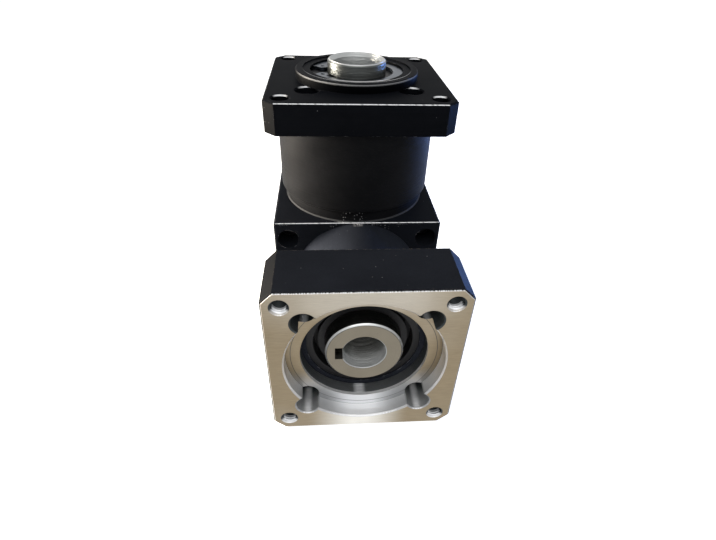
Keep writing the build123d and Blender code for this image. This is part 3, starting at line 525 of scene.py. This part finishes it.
class GEARBOX_OT_output_flange(Operator):
    """Black anodised finish of the output flange, with its worn front edge and turned boss"""

    bl_idname = "gearbox.output_flange"
    bl_label = "Output flange"

    def execute(self, context):
        palette = colours()
        finish = Finish("output_flange_anodised")
        reach = finish.distance(finish.x, finish.y)
        painted_boss_wall_shade = reach.rise(BOSS_RADIUS - 0.4, BOSS_RADIUS - 0.2) * finish.z.rise(0.0, 0.3)
        corners = corner_cuts(finish, reach, (1, 1, 0), (1, -1, 0))
        # painted shade: the whole coat is painted darker than the housing's, and darker still on the
        # boss's side wall and the corner cuts
        tone, roughness, relief = anodised_coat(finish, 0.5 - (painted_boss_wall_shade | corners) * 0.34)
        edge = finish.front_top_bevel() * finish.y.near(OUTPUT_FRONT, 0.8)
        bare = chattered_edge(finish, edge * finish.z.near(-0.28, 0.07, 0.08))
        mount = finish.from_four(finish.x, finish.y, motor_hole_place()).under(MOUNT_RADIUS + 0.5)
        tie = finish.from_four(finish.x, finish.y, TIE_PLACE).under(TIE_RADIUS + 0.5)
        # painted highlight: bright metal on the side of each hole's opening that faces front and up
        lit_side = finish.z.near(-0.30, 0.35, 0.1) * finish.facing((0, -1, 1)).rise(0.80, 0.97)
        painted_mouth_glints = (mount | tie) * lit_side
        boss = reach.under(BOSS_RADIUS + 0.4, 0.2) * finish.z.rise(-0.2, 0.2)
        rings = finish.lines(reach, 3.4, 2.0)
        # painted highlights: bright lines on the circlip seat's edge and on the boss's rims, on
        # their front side only
        raised = finish.z.rise(BOSS_TOP - 0.8, BOSS_TOP - 0.5)
        painted_seat_highlight = reach.near(CIRCLIP_SEAT_RADIUS, 0.28, 0.1) * raised * finish.y.rise(-12.0, -15.0)
        rim = reach.near(BOSS_STEP_RADIUS + 0.1, 0.10, 0.10)
        rim = rim | (reach.near(BOSS_RADIUS - 0.1, 0.06, 0.08) * 0.4)
        rim = rim * raised * finish.y.rise(-2.0, -18.0)
        worn = finish.edges(0.3) * finish.noise(0.5, 3.0).rise(0.50, 0.66)
        # bare holds the worn edges and the painted highlights on the circlip seat, the boss rims and
        # the hole openings
        bare = bare | (worn * 0.2) | painted_seat_highlight | (rim * 0.7) | (painted_mouth_glints * 0.9)
        material = finish.close(
            base_color=finish.mix(bare, tone, palette.worn), roughness=roughness - boss * 0.08,
            metallic=bare * 0.55, specular_ior_level=BLACK_GLOSS,
            normal=finish.bump(relief + rings * boss * 0.8, 0.006, finish.softened(0.22)),
        )
        dress(material, "output_flange")
        return {"FINISHED"}


class FlangeFinish(Finish):
    """The input flange's material, with a mask for each place that is cut into it."""

    def __init__(self):
        super().__init__("input_flange_machined")
        self.depth = self.y - FLANGE_FACE
        self.reach = self.distance(self.x, self.up)
        self.faced = self.facing((0, -1, 0)).rise(0.90, 0.97)
        in_recess = self.reach.under(RECESS_RADIUS + 0.7)
        in_throat = self.reach.under(THROAT_RADIUS + 0.4)
        self.recess = in_recess * self.depth.under(RECESS_DEPTH + 0.3, 0.2)
        throat = in_throat * self.depth.under(RECESS_DEPTH + 1.3, 0.2)
        self.deep = in_throat * (1 - throat)
        pocket = self.from_four(self.x, self.up, POCKET_PLACE).under(POCKET_RADIUS + 0.55)
        hole = self.from_four(self.x, self.up, motor_hole_place())
        hole = hole.under(sizes().motor_hole_dia / 2 / MM + 0.7)
        cuts = (pocket | hole) * self.depth.under(FLANGE_THICKNESS - 0.4, 0.4)
        self.bare = self.depth.under(0.2) | self.recess | throat | cuts
        self.walls = self.bare * (1 - self.faced)
        self.in_hole = hole * self.walls
        self.in_pocket = pocket * self.walls
        self.milled = self.noise((0.35, 0.35, 5.0), 2.0)

    def worn_edge(self):
        """Uneven bright strokes along the edge at the top of the face."""
        edge = self.front_top_bevel() * self.depth.near(0.12, 0.12, 0.06)
        return chattered_edge(self, edge) * self.lines(self.x, 1.9, 2.0).rise(0.42, 0.54)

    def hole_shade(self):
        """Where the motor holes lie in shade: below their mouth, and all but their lowest part."""
        upper = self.above_hole(motor_hole_place()).rise(-1.7, -0.5)
        return self.in_hole * (self.depth.rise(0.5, 0.8) * 0.88 | upper)

    def pocket_glint(self):
        """A bright line along the low side of each screw pocket."""
        low_side = self.above_hole(POCKET_PLACE).rise(0.5, -2.0)
        return abs(abs(self.x) - POCKET_PLACE).rise(1.7, 0.2) * low_side

    def pocket_shade(self, glint):
        """Where the screw pockets lie in shade, most of all at their bottom."""
        inner = self.depth.rise(2.0, 10.0) | self.up.rise(0.0, 8.0)
        return self.in_pocket * (1 - glint * 0.85) * (0.58 + inner * 0.42)

    def throat_gleam(self):
        """A bright strip down the low side of the throat behind the recess."""
        return self.x.near(-0.8, 0.5, 2.0) * self.up.rise(-8.0, -16.0)

    def machined(self, palette):
        """Colour and relief of the bare metal, with a painted highlight down the lower middle, a
        fainter one at the top middle, and brown painted shade elsewhere.
        """
        metal, turning = turned_metal(self, palette.bare, self.reach, self.y, self.faced)
        metal = self.shade(metal, 0.92 + self.milled * 0.16)
        # painted highlights: a strip down the lower middle and a broad faint patch at the top middle
        below = self.x.near(-1.5, 1.0, 17.0) * self.up.rise(16.0, -28.0)
        above = self.x.near(0.0, 6.0, 30.0) * self.up.rise(12.0, 26.0) * 0.42
        # brown painted shade everywhere away from these painted highlights
        painted_side_shade = (1 - (below | above)) * (0.84 + self.noise(0.05, 2.0) * 0.3)
        brown = self.shade(palette.painted_side_shade, 0.8 + self.milled * 0.4)
        return self.mix(painted_side_shade, metal, brown), turning

    def lit(self, palette, metal, shade):
        """The bare metal with painted light on its lower walls, its pocket walls and the low part of
        the recess floor, and painted shade in its turned groove, in the corner at the recess wall,
        on the recess's lower flanks and in the given shaded places.
        """
        # painted light: the low part of the recess floor, the lower walls and the pocket walls are
        # painted brighter
        floor = self.recess * self.faced * self.up.rise(-6.0, -20.0)
        walls = self.walls * (0.45 + self.up.rise(4.0, -16.0) * 0.45)
        bright = self.mix(walls | (self.in_pocket * 0.95) | floor, metal, palette.worn)
        # painted shade: dark lines in the turned groove and in the corner at the recess wall
        groove = self.reach.near(RECESS_GROOVE_RADIUS, 0.07, 0.08)
        groove = groove | self.reach.near(RECESS_RADIUS, 0.10, 0.08)
        groove = groove * self.recess * self.faced
        # painted shade on the lower flanks of the recess, either side of the painted highlight in
        # the middle
        painted_flank_shade = abs(self.x + 0.6).rise(3.0, 13.0) * self.recess * self.up.rise(-4.0, -16.0) * 0.42
        cool = self.shade(palette.cool_steel_and_shade, 0.45)
        return self.mix(shade | (groove * 0.8) | painted_flank_shade, bright, cool)


class GEARBOX_OT_input_flange(Operator):
    """Input flange: black outside, with a bare machined face, recess, pockets and holes"""

    bl_idname = "gearbox.input_flange"
    bl_label = "Input flange"

    def execute(self, context):
        palette = colours()
        finish = FlangeFinish()
        bare, deep = finish.bare, finish.deep
        corners = corner_cuts(finish, finish.reach, (1, 0, 1), (1, 0, -1))
        # painted light: the black coat is painted lighter all over, with painted shade on the corner
        # cuts
        tone, roughness, relief = anodised_coat(finish, 1.3 - corners * 1.1)
        metal, turning = finish.machined(palette)
        painted_hole_shade = finish.hole_shade()
        glint = finish.pocket_glint()
        metal = finish.lit(palette, metal, painted_hole_shade | finish.pocket_shade(glint))
        worn = finish.edges(0.35) * finish.noise(0.6, 3.0).rise(0.42, 0.6) * 0.4
        tone = finish.mix(bare | (worn * 0.8), tone, metal)
        tone = finish.mix(finish.worn_edge(), tone, palette.worn)
        gleam = finish.throat_gleam()
        dark = finish.shade(palette.cool_steel_and_shade, 0.30 + turning * 0.3)
        # painted highlight: a bright strip down the low side of the throat, and its lower part
        # painted a little lighter
        dark = finish.mix(gleam * 0.7 + finish.up.rise(0.0, -18.0) * 0.12, dark, palette.worn)
        tone = finish.mix(deep, tone, dark)
        shine = (glint * finish.in_pocket) | (gleam * deep)
        rings = finish.lines(finish.reach, 3.0, 2.0) * finish.recess * finish.faced
        turning = turning * (1 + shine * 2.5) + finish.milled * finish.faced * 0.03
        height = relief * (1 - bare) * 0.05 + turning * (bare | deep) + rings * 0.4
        smooth = 0.30 + finish.noise(0.8, 3.0) * 0.14
        dull = finish.walls * (1 - (painted_hole_shade | (gleam * deep))) * 0.45
        material = finish.close(
            base_color=tone, roughness=roughness * (1 - bare) + smooth * bare,
            metallic=(bare | worn | (deep * 0.9)) - dull, specular_ior_level=BLACK_GLOSS,
            normal=finish.bump(height, 0.13, finish.softened(0.18)),
        )
        dress(material, "input_flange")
        return {"FINISHED"}


class GEARBOX_OT_ring_gear(Operator):
    """Blackened steel of the ring gear, turned outside and cut to bright teeth inside"""

    bl_idname = "gearbox.ring_gear"
    bl_label = "Ring gear"

    def execute(self, context):
        palette = colours()
        finish = Finish("ring_gear_blackened")
        reach = finish.distance(finish.x, finish.y)
        feed = finish.lines(finish.z, 3.6, 3.0)
        grain = finish.noise(3.0, 2.0)
        cloud = finish.noise((0.09, 0.09, 0.16), 3.0)
        foot = finish.z.near(BLOCK_TOP + 1.6, 1.6, 1.2) * finish.y.rise(-20.0, -22.0)
        flecks = finish.specks(1.2, 0.34, 0.60) * finish.x.near(-1.8, 2.6, 2.6) * foot
        tone = finish.shade(palette.blackened, 0.55 + feed * 0.35 + cloud * 0.8)
        tone = finish.mix(flecks * 0.4, tone, palette.dust)
        inside = reach.under(RING_TOOTH_RADIUS + 0.4, 0.2)
        tone = finish.mix(inside, tone, finish.shade(palette.gear, 0.7 + grain * 0.4))
        material = finish.close(
            base_color=tone, roughness=0.42 + cloud * 0.12 + flecks * 0.2, metallic=inside,
            specular_ior_level=2 * BLACK_GLOSS,
            normal=finish.bump(feed + grain * 0.02, 0.08, finish.softened(0.2)),
        )
        dress(material, "ring_gear")
        return {"FINISHED"}


class GEARBOX_OT_shafts(Operator):
    """Ground steel of the shafts, the carrier and the spacers"""

    bl_idname = "gearbox.shafts"
    bl_label = "Shafts and carrier"

    def execute(self, context):
        palette = colours()
        finish = Finish("input_shaft_ground")
        reach = finish.distance(finish.x, finish.up)
        depth = finish.y - SHAFT_FACE
        faced = abs(finish.facing((0, -1, 0))).rise(0.90, 0.97)
        metal, turning = turned_metal(finish, palette.steel, reach, finish.y, faced)
        inside = reach.under(MOTOR_BORE_RADIUS + 0.3) * (1 - faced)
        # painted highlight: a bright ring at the outer edge of the shaft's face
        rim = reach.near(INPUT_SHAFT_RADIUS - 0.2, 0.2, 0.15) * depth.under(0.8, 0.3)
        tone = finish.mix((1 - faced) * 0.8, metal, finish.shade(palette.cool_steel_and_shade, 0.35))
        tone = finish.mix(rim * 0.8, tone, palette.bored_and_highlight)
        # painted shade: the bore is painted darker the deeper it goes
        tone = finish.mix(inside * (0.12 + depth.rise(9.0, 1.0) * 0.62), tone, palette.bored_and_highlight)
        material = self.ground(finish, tone, turning, inside, 2.5)
        dress(material, "input_shaft", "input_spacer")

        finish = Finish("output_shaft_ground")
        reach = finish.distance(finish.x, finish.y)
        faced = abs(finish.facing((0, 0, 1))).rise(0.90, 0.97)
        metal, turning = turned_metal(finish, palette.steel, reach, finish.z, faced)
        inside = reach.under(OUTPUT_SHAFT_RADIUS - 0.25)
        tone = finish.mix(0.9, metal, finish.shade(palette.cool_steel_and_shade, 0.5))
        # painted shade: the bore is painted darker the deeper it goes
        tone = finish.mix(inside * (0.16 + finish.z.rise(-2.0, 5.0) * 0.34), tone, palette.bored_and_highlight)
        material = self.ground(finish, tone, turning, inside, 0.6)
        dress(material, "planet_carrier", "carrier_end_plate", "planet_washers")
        dress(material, "sun_shaft", "output_spacer")
        return {"FINISHED"}

    def ground(self, finish, tone, turning, inside, feed):
        """Close a shaft's finish, whose turned lines are deeper in its bore by the factor feed."""
        smooth = 0.24 + finish.noise(0.6, 3.0) * 0.14
        return finish.close(
            base_color=tone, roughness=smooth, metallic=1 - inside * 0.15,
            normal=finish.bump(turning * (1 + inside * feed), 0.13, finish.softened(0.12)),
        )


class GEARBOX_OT_gears(Operator):
    """Cut steel of the bevel gears, the planets and their keys"""

    bl_idname = "gearbox.gears"
    bl_label = "Gears and keys"

    def execute(self, context):
        palette = colours()
        finish = Finish("gear_steel_cut")
        grain = finish.noise(3.2, 3.0, 0.6)
        cloud = finish.noise(0.25, 3.0)
        tint = finish.mix(cloud.rise(0.45, 0.75) * 0.35, palette.gear, palette.steel)
        material = finish.close(
            base_color=finish.shade(tint, 0.7 + grain * 0.35 + cloud * 0.2), metallic=1.0,
            roughness=0.26 + cloud * 0.16, normal=finish.bump(grain, 0.004, finish.softened(0.08)),
        )
        dress(material, "bevel_pinion", "bevel_gear", "pinion_key", "gear_key")
        dress(material, *(f"planet_gear_{number}" for number in (1, 2, 3)))
        return {"FINISHED"}


class GEARBOX_OT_bearings(Operator):
    """Polished steel of the bearings, the planet pins and their needle rollers"""

    bl_idname = "gearbox.bearings"
    bl_label = "Bearings"

    def execute(self, context):
        palette = colours()
        finish = Finish("bearing_steel_polished")
        cloud = finish.noise(0.5, 3.0)
        scratches = finish.noise((6.0, 6.0, 0.7), 2.0)
        material = finish.close(
            base_color=finish.shade(palette.bearing, 0.75 + cloud * 0.3 + scratches * 0.15),
            roughness=0.12 + cloud * 0.10, metallic=1.0,
            normal=finish.bump(scratches, 0.002, finish.softened(0.1)),
        )
        endings = ("_inner_ring", "_outer_ring", "_ball_set")
        bearings = [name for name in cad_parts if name.endswith(endings)]
        dress(material, "planet_pins", "needle_rollers", *bearings)
        return {"FINISHED"}


class GEARBOX_OT_circlips(Operator):
    """Blued spring steel of the circlips"""

    bl_idname = "gearbox.circlips"
    bl_label = "Circlips"

    def execute(self, context):
        palette = colours()
        finish = Finish("spring_steel_blued")
        cloud = finish.noise(0.35, 3.0)
        grain = finish.noise(3.5, 2.0)
        bare = finish.edges(0.25) * finish.noise(0.7, 2.0).rise(0.3, 0.5)
        tone = finish.shade(palette.spring, 0.6 + cloud * 0.7 + grain * 0.15)
        material = finish.close(
            base_color=finish.mix(bare * 0.7, tone, palette.bearing),
            roughness=0.25 + cloud * 0.15, metallic=1.0,
            normal=finish.bump(grain, 0.003, finish.softened(0.15)),
        )
        dress(material, "output_circlip", "input_circlip", "pinion_circlip", "gear_circlip")
        return {"FINISHED"}


class GEARBOX_OT_seals(Operator):
    """Rubber of the oil seal, the bearing seal and the rings, and the fibre gasket"""

    bl_idname = "gearbox.seals"
    bl_label = "Seals and gasket"

    def execute(self, context):
        palette = colours()
        finish = Finish("seal_rubber")
        radius = finish.distance(finish.x, finish.up)
        moulded = finish.lines(radius, 1.6, 1.0)
        upright = finish.lines(finish.distance(finish.x, finish.y), 1.6, 1.0)
        pores = finish.noise(2.2, 3.0, 0.7)
        material = finish.close(
            base_color=finish.shade(palette.rubber, 0.7 + pores * 0.5),
            roughness=0.42 + pores * 0.16, specular_ior_level=0.3,
            normal=finish.bump(moulded + upright + pores * 0.5, 0.02, finish.softened(0.15)),
        )
        dress(material, "input_oil_seal", "output_bearing_seal")
        dress(material, "output_flange_oring", "rear_cover_oring", "bottom_cover_oring")
        fibre = Finish("gasket_fibre")
        strands = fibre.noise((3.0, 3.0, 0.5), 3.0, 0.7)
        material = fibre.close(
            base_color=fibre.shade(palette.gasket, 0.6 + strands * 0.7), roughness=0.8,
            normal=fibre.bump(strands, 0.02),
        )
        dress(material, "ring_gear_gasket")
        return {"FINISHED"}


def screw_finish():
    """Black oxide on steel, worn a little on the ridges and the socket's rim."""
    palette = colours()
    finish = Finish("screw_black_oxide")
    cloud = finish.noise(0.5, 3.0)
    grain = finish.noise(4.0, 2.0)
    worn = finish.edges(0.12) * finish.noise(0.9, 2.0).rise(0.4, 0.6) * 0.6
    tone = finish.shade(palette.screw, 0.5 + cloud * 0.8 + grain * 0.2)
    return finish.close(
        base_color=finish.mix(worn, tone, palette.gear), roughness=0.30 + cloud * 0.12,
        metallic=0.4 + worn * 0.6, specular_ior_level=0.4,
        normal=finish.bump(grain, 0.004, finish.softened(0.08)),
    )


def piece(name, mesh, material, body):
    """Make a new piece of the object from a finished bmesh."""
    bmesh.ops.recalc_face_normals(mesh, faces=mesh.faces[:])
    data = bpy.data.meshes.new(name)
    mesh.to_mesh(data)
    mesh.free()
    data.materials.append(material)
    made = bpy.data.objects.new(name, data)
    bpy.context.scene.collection.objects.link(made)
    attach(made, body)
    return made


def raise_cap(mesh, face, height, scale=1.0):
    """Extrude a cap face by a height along z and scale it about the z axis."""
    made = bmesh.ops.extrude_face_region(mesh, geom=[face])["geom"]
    corners = [item for item in made if isinstance(item, bmesh.types.BMVert)]
    bmesh.ops.delete(mesh, geom=[face], context="FACES_ONLY")
    bmesh.ops.translate(mesh, verts=corners, vec=(0, 0, height))
    bmesh.ops.scale(mesh, verts=corners, vec=(scale, scale, 1))
    return next(item for item in made if isinstance(item, bmesh.types.BMFace))


def cap_screw(size, shank_length):
    """One socket cap screw at the origin with its head along +z, as a bmesh."""
    mesh = bmesh.new()
    outline = {"cap_ends": True, "segments": size.knurl_ridges * 2}
    radius = size.head_dia / 2
    valley = radius - size.knurl_depth
    head_bevel = 0.32 * MM
    tip_bevel = 0.4 * MM
    bmesh.ops.create_circle(mesh, radius=valley, **outline)
    cap = mesh.faces[:][0]
    seat = bmesh.ops.create_circle(mesh, radius=valley, **outline)
    bottom = seat["verts"][0].link_faces[0]
    # the head, from its seat up: each step's share of its height, and 1 where ridges start
    for step, ridges in ((0.05, 0), (0.02, 1), (0.74, 0), (0.03, -1), (0.07, 0)):
        cap = raise_cap(mesh, cap, step * size.head_height)
        knurl(cap, size, ridges)
    cap = raise_cap(mesh, cap, 0.09 * size.head_height, 1 - head_bevel / radius)
    # the hexagon socket, with the cone that the drill leaves
    cap = raise_cap(mesh, cap, 0.0, size.socket_width * 0.62 / (valley - head_bevel))
    hexagon(cap, size.socket_width)
    cap = raise_cap(mesh, cap, -size.socket_depth)
    raise_cap(mesh, cap, -size.socket_depth * 0.3, 0.02)
    # the shank
    bottom = raise_cap(mesh, bottom, 0.0, size.shank_dia / 2 / valley)
    bottom = raise_cap(mesh, bottom, tip_bevel - shank_length)
    raise_cap(mesh, bottom, -tip_bevel, 0.82)
    bmesh.ops.remove_doubles(mesh, verts=mesh.verts[:], dist=1e-7)
    return mesh


def knurl(cap, size, sign):
    """Push every other corner of a cap out by 1, back in by -1, or leave it by 0."""
    for number, corner in enumerate(cap.verts):
        if number % 2 == 0:
            reach = Vector((corner.co.x, corner.co.y, 0)).normalized()
            corner.co += reach * size.knurl_depth * sign


def hexagon(cap, width):
    """Move the corners of a round cap onto a hexagon of this width across its flats."""
    for corner in cap.verts:
        outward = Vector((corner.co.x, corner.co.y))
        turn = Vector((1, 0)).angle_signed(outward, 0.0) % (pi / 3) - pi / 6
        corner.co.xy = outward.normalized() * (width / 2 / cos(turn))


def put_screws(name, node, axis, material):
    """Knurled cap screws in place of a node's four plain ones, whose heads point along an axis."""
    size = sizes()
    low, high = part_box(node)
    turned = Vector((0, 0, 1)).rotation_difference(Vector(axis)).to_matrix().to_4x4()
    along = [abs(value) for value in axis].index(1)
    across, upright = (number for number in range(3) if number != along)
    head_top = high[along] if axis[along] > 0 else low[along]
    shank_length = high[along] - low[along] - size.head_height
    place = Vector((0, 0, 0))
    place[along] = head_top - axis[along] * size.head_height
    inset = size.head_dia / 2
    whole = bmesh.new()
    for place[across] in (low[across] + inset, high[across] - inset):
        for place[upright] in (low[upright] + inset, high[upright] - inset):
            one = cap_screw(size, shank_length)
            bmesh.ops.transform(one, matrix=Matrix.Translation(place) @ turned, verts=one.verts[:])
            kept = bpy.data.meshes.new("one_screw")
            one.to_mesh(kept)
            one.free()
            whole.from_mesh(kept)
            bpy.data.meshes.remove(kept)
    made = piece(name, whole, material, "housing")
    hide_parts(node)


class GEARBOX_OT_cap_screws(Operator):
    """Knurled cap screws with hexagon sockets, in place of the plain ones"""

    bl_idname = "gearbox.cap_screws"
    bl_label = "Screws"

    def execute(self, context):
        material = screw_finish()
        put_screws("knurled_output_screws", "output_flange_screws", (0, 0, 1), material)
        put_screws("knurled_input_screws", "input_flange_screws", (0, -1, 0), material)
        put_screws("knurled_housing_screws", "housing_screws", (0, -1, 0), material)
        dress(material, "bottom_cover_screws", "carrier_screws")
        return {"FINISHED"}


class GEARBOX_OT_motor_threads(Operator):
    """The cut thread in each tapped hole of the input flange"""

    bl_idname = "gearbox.motor_threads"
    bl_label = "Motor hole threads"

    def execute(self, context):
        size = sizes()
        low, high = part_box("input_flange")
        middle = (low.z + high.z) / 2
        offset = size.motor_hole_spacing / 2
        steps_a_turn = 28
        lead_in = 0.7 * MM
        unthreaded = 1.6 * MM
        into_wall = 0.01 * MM
        turns = (size.motor_hole_depth - unthreaded) / size.thread_pitch
        outer = size.motor_hole_dia / 2 + into_wall
        inner = outer - size.thread_height
        profile = ((outer, -0.44), (inner, -0.06), (inner, 0.06), (outer, 0.44))
        whole = bmesh.new()
        for side in (-offset, offset):
            for level in (-offset, offset):
                centre = Vector((side, low.y + lead_in, middle + level))
                section = whole.faces.new([
                    whole.verts.new(centre + Vector((reach, step * size.thread_pitch, 0)))
                    for reach, step in profile
                ])
                bmesh.ops.spin(
                    whole, geom=[section, *section.edges, *section.verts], cent=centre,
                    axis=(0, 1, 0), dvec=(0, size.thread_pitch / steps_a_turn, 0),
                    angle=2 * pi * turns, steps=int(steps_a_turn * turns),
                )
        bmesh.ops.holes_fill(whole, edges=whole.edges[:])
        piece("motor_hole_threads", whole, self.cut_metal(), "housing")
        return {"FINISHED"}

    def cut_metal(self):
        """Bright cut aluminium, in shade below the mouth and on all but the lowest part."""
        palette = colours()
        finish = Finish("thread_cut_aluminium")
        grain = finish.noise(3.0, 2.0)
        upper = finish.above_hole(motor_hole_place()).rise(-1.7, -0.6)
        painted_hole_shade = (finish.y - FLANGE_FACE).rise(1.2, 3.0) | upper
        tone = finish.mix(painted_hole_shade, palette.worn, finish.shade(palette.cool_steel_and_shade, 0.22))
        return finish.close(
            base_color=finish.shade(tone, 0.8 + grain * 0.3), roughness=0.3 + grain * 0.1,
            metallic=1.0, normal=finish.bump(grain, 0.004),
        )


# Each lamp's name, place, width and height in metres, and colour
LAMPS = (
    ("key", (-0.06, -0.52, 0.56), 0.80, 0.50, (1.0, 0.99, 0.97)),
    ("left", (-0.36, 0.07, -0.01), 0.20, 0.16, (1.0, 0.90, 0.76)),
    ("right", (0.40, 0.07, -0.03), 0.16, 0.12, (0.50, 0.68, 1.0)),
    ("back", (0.31, 0.18, -0.05), 0.10, 0.10, (0.15, 0.34, 1.0)),
)

# The camera's place in metres and its turn in degrees, fitted to the edges in the photograph
CAMERA_PLACE = (-0.01168, -0.16748, 0.04298)
CAMERA_TURN = (52.82, -1.65, -3.75)
SENSOR_WIDTH = 36.0
WHITE = (1.0, 1.0, 1.0, 1.0)


class GEARBOX_OT_stage(Operator):
    """Pale floor, soft lamps and the camera that looks as the photograph does"""

    bl_idname = "gearbox.stage"
    bl_label = "Stage"

    def execute(self, context):
        stage = context.scene.gearbox_stage
        low, high = (Vector(corner) for corner in cad_bounds)
        self.floor(stage, low.z)
        self.world(stage)
        for lamp in LAMPS:
            self.lamp(stage, (low + high) / 2, *lamp)
        data = bpy.data.cameras.new("camera")
        data.lens, data.sensor_width = stage.lens, SENSOR_WIDTH
        data.clip_start, data.clip_end = 0.01, 50.0
        camera = bpy.data.objects.new("camera", data)
        camera.location = CAMERA_PLACE
        camera.rotation_euler = Euler([radians(angle) for angle in CAMERA_TURN])
        context.scene.collection.objects.link(camera)
        context.scene.camera = camera
        context.scene.view_settings.view_transform = "Standard"
        return {"FINISHED"}

    def floor(self, stage, height):
        """A matt floor that is plain white in a mirror."""
        mesh = bmesh.new()
        bmesh.ops.create_grid(mesh, x_segments=1, y_segments=1, size=stage.floor_size / 2)
        bmesh.ops.translate(mesh, verts=mesh.verts[:], vec=(0, 0, height))
        data = bpy.data.meshes.new("floor")
        mesh.to_mesh(data)
        mesh.free()
        floor = bpy.data.objects.new("floor", data)
        bpy.context.scene.collection.objects.link(floor)
        finish = Finish("floor_white")
        seen, mirrored = finish.plain_rays()
        grey = (stage.floor_level,) * 3 + (1.0,)
        matt = finish.node("ShaderNodeBsdfDiffuse", {}, {"Color": grey})
        bright = {"Color": WHITE, "Strength": seen * stage.floor_glow}
        glow = finish.node("ShaderNodeEmission", {}, bright)
        both = finish.node("ShaderNodeAddShader", {}, {0: matt.outputs[0], 1: glow.outputs[0]})
        white = finish.node("ShaderNodeEmission", {}, {"Color": WHITE, "Strength": 1.0})
        mixed = finish.node(
            "ShaderNodeMixShader", {}, {0: mirrored, 1: both.outputs[0], 2: white.outputs[0]}
        )
        finish.node("ShaderNodeOutputMaterial", {}, {"Surface": mixed.outputs[0]})
        data.materials.append(finish.material)

    def world(self, stage):
        """Soft light from all round, which the camera and mirrors see as plain white."""
        world = bpy.data.worlds.new("studio")
        world.use_nodes = True
        bpy.context.scene.world = world
        sky = Nodes(world.node_tree)
        seen, mirrored = sky.plain_rays()
        pale = {"Color": (0.96, 0.98, 1.0, 1.0), "Strength": stage.world_level}
        soft = sky.node("ShaderNodeBackground", {}, pale)
        white = sky.node("ShaderNodeBackground", {}, {"Color": WHITE, "Strength": 1.0})
        mixed = sky.node(
            "ShaderNodeMixShader", {}, {0: seen | mirrored, 1: soft.outputs[0], 2: white.outputs[0]}
        )
        sky.node("ShaderNodeOutputWorld", {}, {"Surface": mixed.outputs[0]})

    def lamp(self, stage, target, name, place, width, height, tint):
        """A soft rectangular lamp that points at the target."""
        data = bpy.data.lights.new(f"{name}_lamp", "AREA")
        data.shape, data.size, data.size_y = "RECTANGLE", width, height
        data.energy, data.color = getattr(stage, f"{name}_power"), tint
        lamp = bpy.data.objects.new(f"{name}_lamp", data)
        lamp.location = place
        lamp.rotation_euler = (target - Vector(place)).to_track_quat("-Z", "Y").to_euler()
        bpy.context.scene.collection.objects.link(lamp)


GROUPS = (
    ("gearbox_sizes", GearboxSizes),
    ("gearbox_colours", GearboxColours),
    ("gearbox_stage", GearboxStage),
)

STEPS = (
    GEARBOX_OT_housing,
    GEARBOX_OT_covers,
    GEARBOX_OT_output_flange,
    GEARBOX_OT_input_flange,
    GEARBOX_OT_ring_gear,
    GEARBOX_OT_shafts,
    GEARBOX_OT_gears,
    GEARBOX_OT_bearings,
    GEARBOX_OT_circlips,
    GEARBOX_OT_seals,
    GEARBOX_OT_cap_screws,
    GEARBOX_OT_motor_threads,
    GEARBOX_OT_stage,
)


class GEARBOX_PT_looks(Panel):
    """Lists the steps that dress the gearbox"""

    bl_idname = "GEARBOX_PT_looks"
    bl_label = "Gearbox looks"
    bl_space_type = "VIEW_3D"
    bl_region_type = "UI"
    bl_category = "Gearbox"

    def draw(self, context):
        for name, group in GROUPS:
            box = self.layout.box()
            for key in group.__annotations__:
                box.prop(getattr(context.scene, name), key)
        for step in STEPS:
            self.layout.operator(step.bl_idname)


def register():
    for name, group in GROUPS:
        bpy.utils.register_class(group)
        setattr(bpy.types.Scene, name, PointerProperty(type=group))
    for step in STEPS:
        bpy.utils.register_class(step)
    bpy.utils.register_class(GEARBOX_PT_looks)


def unregister():
    bpy.utils.unregister_class(GEARBOX_PT_looks)
    for step in reversed(STEPS):
        bpy.utils.unregister_class(step)
    for name, group in reversed(GROUPS):
        delattr(bpy.types.Scene, name)
        bpy.utils.unregister_class(group)


def main():
    register()
    bpy.ops.gearbox.housing()
    bpy.ops.gearbox.covers()
    bpy.ops.gearbox.output_flange()
    bpy.ops.gearbox.input_flange()
    bpy.ops.gearbox.ring_gear()
    bpy.ops.gearbox.shafts()
    bpy.ops.gearbox.gears()
    bpy.ops.gearbox.bearings()
    bpy.ops.gearbox.circlips()
    bpy.ops.gearbox.seals()
    bpy.ops.gearbox.cap_screws()
    bpy.ops.gearbox.motor_threads()
    bpy.ops.gearbox.stage()


if __name__ == "__main__":
    main()
